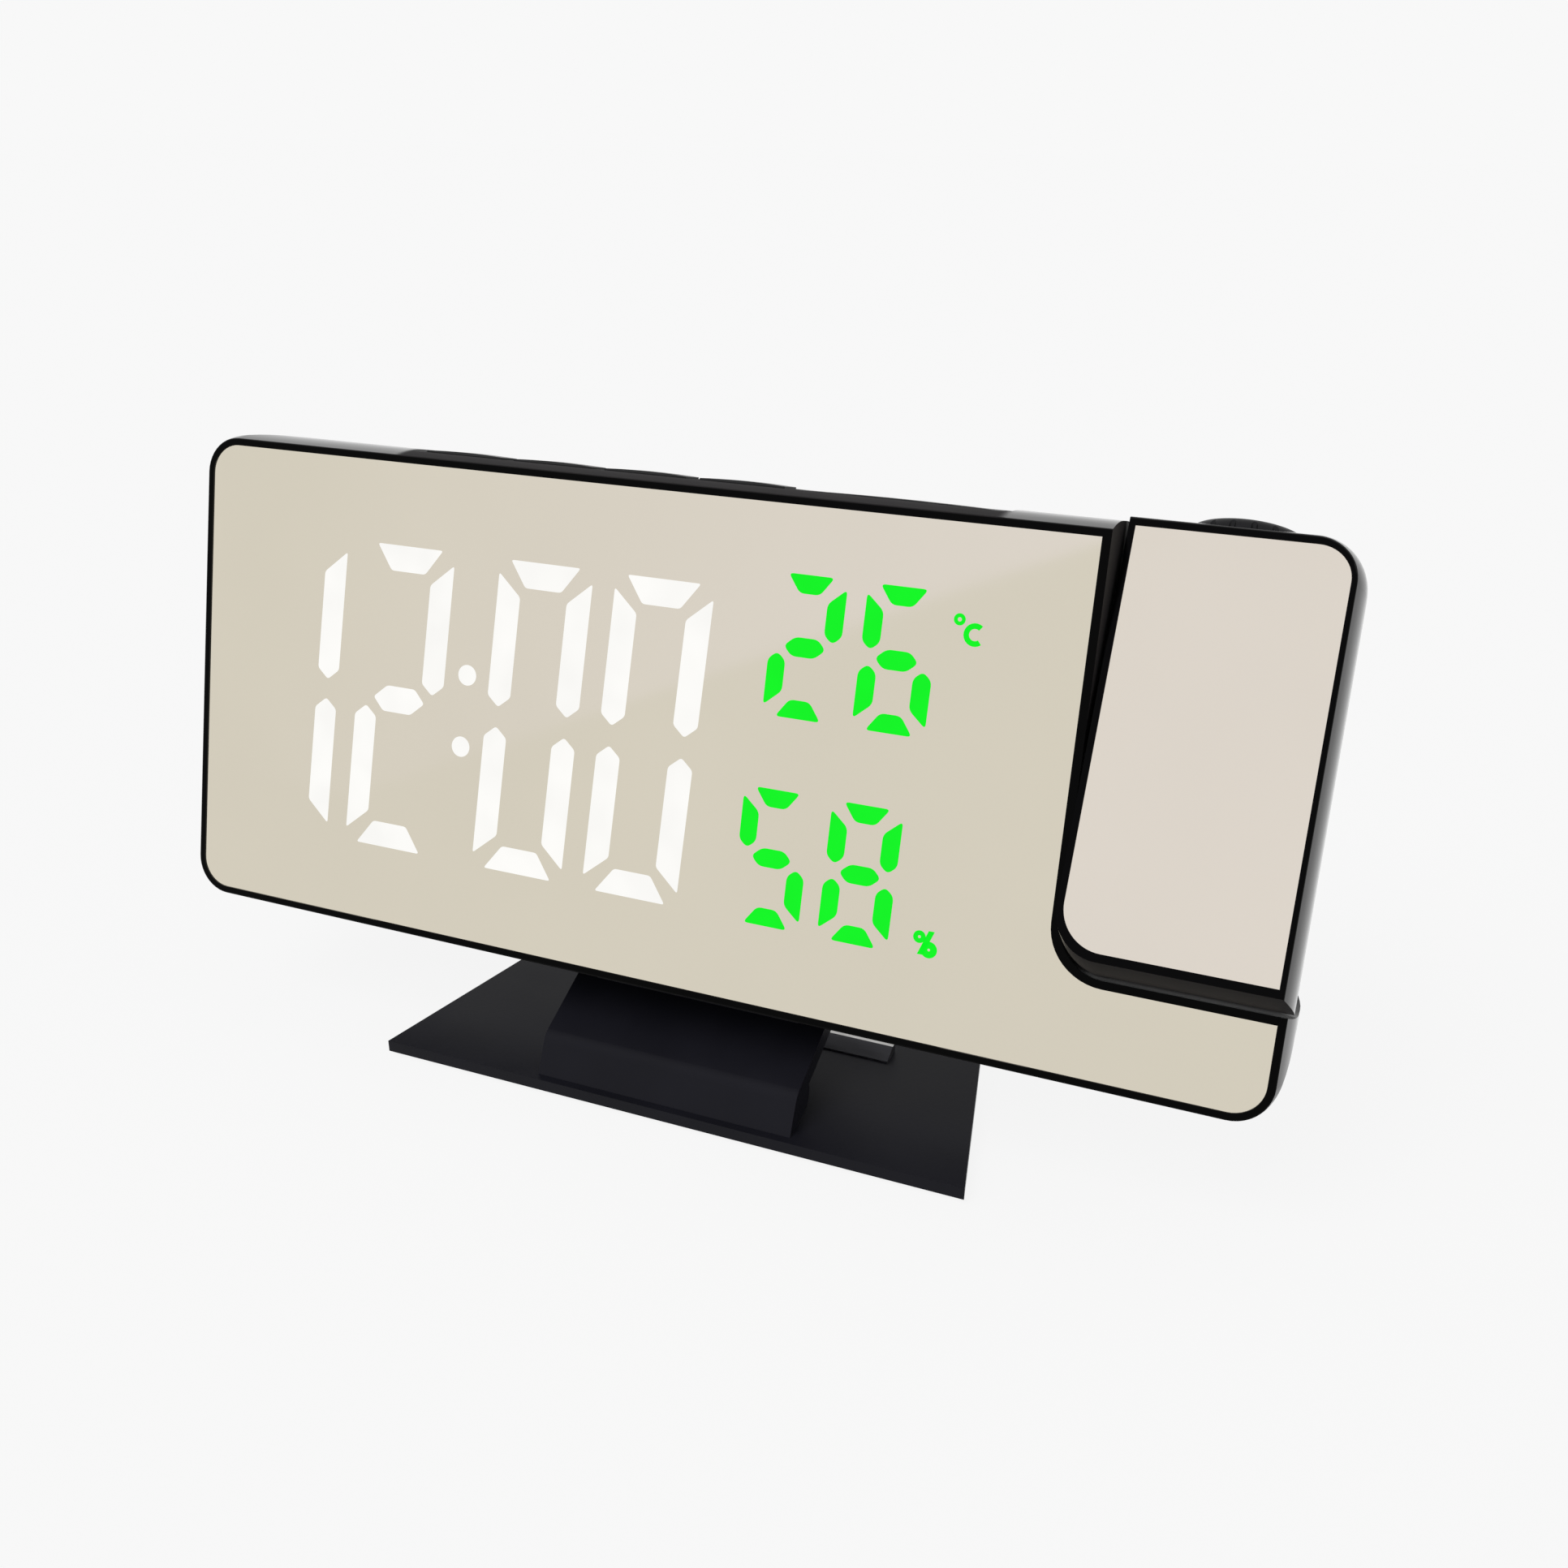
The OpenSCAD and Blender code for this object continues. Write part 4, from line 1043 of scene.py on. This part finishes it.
@dataclass
class SevenStrokeDigit:
    """One digit, drawn in a box from its lower left corner and slanted about its middle.

    Attributes:
        x: left edge at half height, in the upright frame, in millimetres.
        z: lower edge.
        width: width of the box.
        height: height of the box.
        slant: how far x grows with each millimetre of height.
        mitre: where the level strokes start, in stroke widths.
    """

    x: float
    z: float
    width: float
    height: float
    slant: float
    mitre: float
    # width of a stroke, as a share of the digit's
    stroke_share: ClassVar[float] = 0.25
    # the rest are in stroke widths, each from the box's edge or its middle
    end_trim: ClassVar[float] = 0.1  # how much sooner the top stroke ends on the right
    end_slope: ClassVar[float] = 0.72  # how far its ends slope inwards
    middle_tip: ClassVar[float] = 0.82  # where the middle stroke's points are
    middle_shoulder: ClassVar[float] = 1.36  # where its full height starts
    middle_lean: ClassVar[float] = 0.06  # how far its upper edge is shifted
    middle_half: ClassVar[float] = 0.52  # half its height
    post_outer: ClassVar[float] = 0.52  # how far below the top a post's outer edge ends
    post_inner: ClassVar[float] = 1.38  # the same for its inner edge
    post_shoulder: ClassVar[float] = 0.8  # how far above the middle its point starts
    post_tip: ClassVar[float] = 0.38  # and how far above the middle it ends

    @property
    def stroke(self) -> float:
        """Width of a stroke."""
        return self.width * self.stroke_share

    def top(self) -> np.ndarray:
        """Draws the top stroke: a trapezium, longer at the top.

        Returns:
            Its corners, as rows of x and z in the box.
        """
        s = self.stroke
        start = self.mitre * s
        end = self.width - start - self.end_trim * s
        slope = self.end_slope * s
        return np.array(
            [
                [start, self.height], [end, self.height],
                [end - slope, self.height - s], [start + slope, self.height - s],
            ]
        )

    def middle(self) -> np.ndarray:
        """Draws the middle stroke: a flat hexagon.

        Returns:
            Its corners, as rows of x and z in the box.
        """
        s = self.stroke
        tip = self.middle_tip * s
        left = self.middle_shoulder * s
        right = self.width - left
        lean = self.middle_lean * s
        mid = self.height / 2
        half = self.middle_half * s
        return np.array(
            [
                [tip, mid], [left + lean, mid + half], [right + lean, mid + half],
                [self.width - tip, mid], [right - lean, mid - half], [left - lean, mid - half],
            ]
        )

    def upper_post(self, right: bool) -> np.ndarray:
        """Draws an upper post: slanted at its top, pointed at its lower end.

        Args:
            right: whether it is the one on the right.

        Returns:
            Its corners, as rows of x and z in the box.
        """
        s = self.stroke
        outer, inner = (self.width, self.width - s) if right else (0.0, s)
        mid = self.height / 2
        shoulder = mid + self.post_shoulder * s
        return np.array(
            [
                [outer, self.height - self.post_outer * s],
                [inner, self.height - self.post_inner * s],
                [inner, shoulder],
                [(outer + inner) / 2, mid + self.post_tip * s],
                [outer, shoulder],
            ]
        )

    def turned(self, outline: np.ndarray) -> np.ndarray:
        """Turns an outline half round about the middle of the box."""
        return np.array([self.width, self.height]) - outline

    def outline(self, which: Stroke) -> np.ndarray:
        """Draws one stroke in place. The lower half is the upper half turned half round.

        A point at height z is moved right by slant * (z - height / 2).

        Args:
            which: the stroke.

        Returns:
            Its corners, as rows of x and z in the upright frame.
        """
        shapes = {
            Stroke.TOP: self.top,
            Stroke.MIDDLE: self.middle,
            Stroke.BOTTOM: lambda: self.turned(self.top()),
            Stroke.UPPER_LEFT: lambda: self.upper_post(False),
            Stroke.UPPER_RIGHT: lambda: self.upper_post(True),
            Stroke.LOWER_LEFT: lambda: self.turned(self.upper_post(True)),
            Stroke.LOWER_RIGHT: lambda: self.turned(self.upper_post(False)),
        }
        points = shapes[which]()
        lean = self.slant * (points[:, 1] - self.height / 2)
        return points + np.array([self.x, self.z]) + np.stack([lean, np.zeros(len(points))], 1)

    def light(self, pane: Pane, figure: str) -> None:
        """Adds the strokes of one figure to a pane."""
        for which in LIT_STROKES[figure]:
            pane.add(self.outline(which))


@dataclass(frozen=True)
class Readout:
    """A row of digits that is lit as one piece. All measures are in millimetres.

    Attributes:
        name: the piece's name.
        finish: what it is lit with.
        x: left edge of each digit.
        z: lower edge of the digits.
        shape: their width, height, slant and mitre.
        corner_mm: rounding of the strokes' corners.
        dots: centres of the dots between digits.
        dot_d: diameter of a dot.
    """

    name: str
    finish: LitStroke
    x: tuple[float, ...]
    z: float
    shape: tuple[float, float, float, float]
    corner_mm: float
    dots: tuple[tuple[float, float], ...] = ()
    dot_d: float = 3.3
    # a dot has a corner every 12 degrees
    dot_step_deg: ClassVar[float] = 12

    def light(self, upright: UprightFrame, figures: str) -> None:
        """Makes the piece, with its dots round and its strokes showing the figures.

        Args:
            upright: the clock's own frame.
            figures: one figure for each digit.
        """
        pane = Pane(upright, corner_mm=self.corner_mm)
        for x, figure in zip(self.x, figures):
            SevenStrokeDigit(x, self.z, *self.shape).light(pane, figure)
        pane.corner_mm = 0.0
        around = np.radians(np.arange(0, 360, self.dot_step_deg))
        for centre in self.dots:
            pane.add(centre + self.dot_d / 2 * np.stack([np.cos(around), np.sin(around)], 1))
        pane.make(self.name, self.finish)


SMALL_SHAPE = (11.0, 21.0, 0.018, 0.66)
TIME = Readout(
    "lit_time",
    WHITE_LIGHT,
    x=(-80.0, -59.8, -35.2, -15.0),
    z=14.0,
    shape=(16.4, 49.6, 0.043, 0.46),
    corner_mm=0.5,
    dots=((-39.5, 33.0), (-39.0, 44.6)),
)
TEMPERATURE = Readout("lit_temperature", GREEN_LIGHT, (11.8, 25.8), 45.8, SMALL_SHAPE, 0.75)
HUMIDITY = Readout("lit_humidity", GREEN_LIGHT, (9.8, 23.8), 13.9, SMALL_SHAPE, 0.75)


@dataclass
class UnitSigns:
    """The degree sign with its C, and the per cent sign, in millimetres.

    Attributes:
        upright: the clock's own frame.
        degree_at: centre of the degree ring.
        degree_radii: its inner and outer radius.
        c_from_degree: from there to the centre of the C.
        c_radii: inner and outer radius of the C.
        c_turn: angles between which the C is drawn.
        percent_at: lower left corner of the per cent sign.
        percent_rings: its two rings: centre, inner and outer radius.
        bar: its sloping bar: width, height, and how far right its top is shifted.
    """

    upright: UprightFrame
    degree_at: tuple[float, float] = (39.8, 63.25)
    degree_radii: tuple[float, float] = (0.3, 0.85)
    c_from_degree: tuple[float, float] = (2.4, -1.9)
    c_radii: tuple[float, float] = (0.85, 1.65)
    c_turn: tuple[float, float] = (52, 308)
    percent_at: tuple[float, float] = (39.2, 14.5)
    percent_rings: tuple[tuple[float, float, float, float], ...] = (
        (0.1, 2.6, 0.22, 0.95), (1.7, 0.9, 0.2, 1.25),
    )
    bar: tuple[float, float, float] = (0.9, 3.7, 1.4)

    def light(self) -> None:
        """Makes the signs one piece."""
        units = Pane(self.upright, soft_mm=0.0)
        whole = (0, 360)
        x, z = self.degree_at
        units.band((x, z), *self.degree_radii, whole)
        across, along = self.c_from_degree
        units.band((x + across, z + along), *self.c_radii, self.c_turn)
        x, z = self.percent_at
        for across, along, inner, outer in self.percent_rings:
            units.band((x + across, z + along), inner, outer, whole)
        width, height, shift = self.bar
        foot = np.array([[0, 0], [width, 0]])
        head = np.array([[width + shift, height], [shift, height]])
        units.add(np.concatenate([foot, head]) + (x, z))
        units.make("lit_units", GREEN_LIGHT)


@dataclass
class LitDisplay:
    """The time in white, and the room's temperature and humidity in green.

    Attributes:
        upright: the clock's own frame.
        time: four figures.
        temperature: two figures.
        humidity: two figures.
    """

    upright: UprightFrame
    time: str = "1200"
    temperature: str = "26"
    humidity: str = "58"

    def build(self) -> None:
        """Makes the pieces of the display."""
        TIME.light(self.upright, self.time)
        TEMPERATURE.light(self.upright, self.temperature)
        HUMIDITY.light(self.upright, self.humidity)
        UnitSigns(self.upright).light()


# ---------- finishes of the construction nodes ----------


@dataclass
class Dresser:
    """Gives each node of the frame its finish.

    Attributes:
        finishes: the nodes that take each finish.
    """

    finishes: dict[Finish, tuple[str, ...]]

    def dress(self) -> None:
        """Puts one material on each node that a finish names."""
        for finish, names in self.finishes.items():
            material = finish.material()
            for name in names:
                mesh = frame["nodes"][name].data
                mesh.materials.clear()
                mesh.materials.append(material)
                LOG.info("%s: %s", name, finish.name)


ALL_FINISHES: dict[Finish, tuple[str, ...]] = {
    GLOSS_BLACK: ("front_frame", "arm_front_shell"),
    SATIN_BLACK: ("rear_cover", "arm_rear_shell", "cell_door", "focus_ring"),
    KEY_BLACK: ("key_set", "key_up", "key_down", "key_alarm", "snooze_bar"),
    STAND_BLACK: ("stand",),
    PAD_RUBBER: ("foot_pads",),
    CHAMPAGNE: ("mirror_panel", "arm_mirror"),
    WHITE_STYRENE: ("diffuser_sheet", "segment_reflector", "climate_sensor"),
    LAMINATE: ("display_board", "key_board", "projector_board"),
    ACETAL_BLACK: ("buzzer", "hub_bush", "pivot_shaft", "optics_tube", "lens_barrel"),
    NICKEL: (
        "usb_charge_socket", "power_socket", "cell_clip", "coin_cell", "friction_washer",
        "pivot_circlip",
    ),
    SHADED_SIDE_STEEL: ("ballast_bar",),
    ZINC: ("body_screws", "arm_screws"),
    LENS_ACRYLIC: ("condenser_lens", "image_slide", "projection_lens"),
    LAMP_RESIN: ("projector_led",),
}


# ---------- studio ----------


@dataclass
class Studio:
    """A white table and surround, one broad key light, and the camera.

    Attributes:
        background: sRGB hex of table and surround, as the camera and reflections see them.
        ambient: strength of the surround as a lamp.
        table_m: width of the table.
        table_colour: sRGB hex of the table as it takes light and shadow.
        table_glow: sRGB hex of the glow that lifts it to the background.
        card_y_m: how far in front of the clock the card stands.
        card_outline_m: the card's corners, as x and z.
        card_fade: how the card comes up along X, to its brightest.
        card_light: linear colour of the card where it is brightest.
        key_strength: strength of the key light.
        key_angle_deg: how broad the key light is.
        key_turn_deg: its turn about X, Y and Z.
        camera_mm: the camera's place.
        camera_turn_deg: its turn about X, Y and Z.
        lens_mm: its focal length.
        sensor_mm: width of its sensor.
        clip_start_m: the nearest that it sees.
    """

    background: str = "#F8F8F8"
    ambient: float = 0.55
    table_m: float = 6.0
    table_colour: str = "#4A4A4A"
    table_glow: str = "#F1F1F1"
    card_y_m: float = -1.5
    card_outline_m: tuple[tuple[float, float], ...] = (
        (-1.107, 0.0), (1.0, 1.01), (1.0, 3.0), (-2.5, 3.0), (-2.5, 0.0),
    )
    card_fade: Ramp = Ramp(Along.PLACE_X, zero=-1300, one=-200, eased=False)
    card_light: Colour = (1.03, 1.02, 1.1, 1.0)
    key_strength: float = 1.3
    key_angle_deg: float = 35
    key_turn_deg: tuple[float, float, float] = (38, 0, -25)
    camera_mm: tuple[float, float, float] = (97.19, -209.15, 152.82)
    camera_turn_deg: tuple[float, float, float] = (65.64, -0.13, 22.43)
    lens_mm: float = 36.39
    sensor_mm: float = 36
    clip_start_m: float = 0.01

    def seen(self, tree: Tree) -> Socket:
        """Tells rays that show the backdrop from rays that only light things.

        Args:
            tree: the node tree that it goes into.

        Returns:
            A socket that is 1 for camera, glossy and transmission rays, and 0 for the rest.
        """
        rays = add_node(tree, "LightPath").outputs
        total = rays["Is Camera Ray"]
        for kind in ("Is Glossy Ray", "Is Transmission Ray"):
            settings = {"operation": "ADD", "use_clamp": True}
            total = add_node(tree, "Math", settings, {0: total, 1: rays[kind]}).outputs["Value"]
        return total

    def add_sheet(
        self, name: str, corners: list[tuple[float, float, float]], material: Material
    ) -> bpy.types.Object:
        """Adds one flat sheet to the studio.

        Args:
            name: the sheet's name.
            corners: its corners in order, in metres.
            material: what it is made of.

        Returns:
            The sheet.
        """
        mesh = bpy.data.meshes.new(name)
        mesh.from_pydata(corners, [], [tuple(range(len(corners)))])
        mesh.materials.append(material)
        sheet = bpy.data.objects.new(name, mesh)
        bpy.context.scene.collection.objects.link(sheet)
        return sheet

    def build_surround(self) -> None:
        """Makes the world: pale to the eye, and a softer lamp to the object."""
        world = bpy.data.worlds.new("surround")
        world.use_nodes = True
        tree = world.node_tree
        tree.nodes.clear()
        strength = add_node(
            tree, "MapRange", {"To Min": self.ambient}, {"Value": self.seen(tree)}
        )
        light = add_node(
            tree,
            "Background",
            {"Color": srgb(self.background)},
            {"Strength": strength.outputs["Result"]},
        )
        add_node(tree, "OutputWorld", links={"Surface": light.outputs["Background"]})
        bpy.context.scene.world = world

    def build_table(self) -> None:
        """Makes the table: it takes the object's shadow, and glows up to the background."""
        material, tree = new_material("table_white")
        matt = add_node(tree, "BsdfDiffuse", {"Color": srgb(self.table_colour)})
        glow = add_node(
            tree, "Emission", {"Color": srgb(self.table_glow)}, {"Strength": self.seen(tree)}
        )
        both = add_node(
            tree, "AddShader", links={0: matt.outputs["BSDF"], 1: glow.outputs["Emission"]}
        )
        add_node(tree, "OutputMaterial", links={"Surface": both.outputs["Shader"]})
        half = self.table_m / 2
        corners = [(-half, -half, 0), (half, -half, 0), (half, half, 0), (-half, half, 0)]
        self.add_sheet("table", corners, material)

    def build_card(self) -> None:
        """Makes a reflector card that only mirrors see: its edge crosses them as a faint step."""
        material, tree = new_material("card_white")
        colour = add_node(
            tree,
            "Mix",
            {
                "data_type": "RGBA",
                MIX_FIRST: srgb(self.background),
                MIX_SECOND: self.card_light,
            },
            {MIX_FACTOR: region(tree, self.card_fade)},
        )
        glow = add_node(tree, "Emission", links={"Color": colour.outputs[MIXED]})
        add_node(tree, "OutputMaterial", links={"Surface": glow.outputs["Emission"]})
        corners = [(x, self.card_y_m, z) for x, z in self.card_outline_m]
        card = self.add_sheet("reflector_card", corners, material)
        for kind in ("camera", "diffuse", "transmission", "volume_scatter", "shadow"):
            setattr(card, f"visible_{kind}", False)

    def build_key(self) -> None:
        """Makes the key light: a broad sun from above, in front and a little to the left."""
        lamp = bpy.data.lights.new("key", "SUN")
        lamp.energy = self.key_strength
        lamp.angle = math.radians(self.key_angle_deg)
        key = bpy.data.objects.new("key", lamp)
        key.rotation_euler = Euler([math.radians(a) for a in self.key_turn_deg])
        key.visible_glossy = False
        bpy.context.scene.collection.objects.link(key)

    def build_camera(self) -> None:
        """Makes the camera."""
        lens = bpy.data.cameras.new("camera")
        lens.sensor_width = self.sensor_mm
        lens.lens = self.lens_mm
        lens.clip_start = self.clip_start_m
        camera = bpy.data.objects.new("camera", lens)
        camera.location = [v * MM for v in self.camera_mm]
        camera.rotation_euler = Euler([math.radians(a) for a in self.camera_turn_deg])
        bpy.context.scene.collection.objects.link(camera)
        bpy.context.scene.camera = camera

    def build(self) -> None:
        """Makes the studio and sets the plain view transform."""
        self.build_surround()
        self.build_table()
        self.build_card()
        self.build_key()
        self.build_camera()
        bpy.context.scene.view_settings.view_transform = "Standard"


def main() -> None:
    """Builds the studio, dresses the frame and adds the lit display."""
    logging.basicConfig(level=logging.INFO, format="%(name)s: %(message)s")
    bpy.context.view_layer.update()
    Studio().build()
    Dresser(ALL_FINISHES).dress()
    LitDisplay(UprightFrame()).build()


if __name__ == "__main__":
    main()
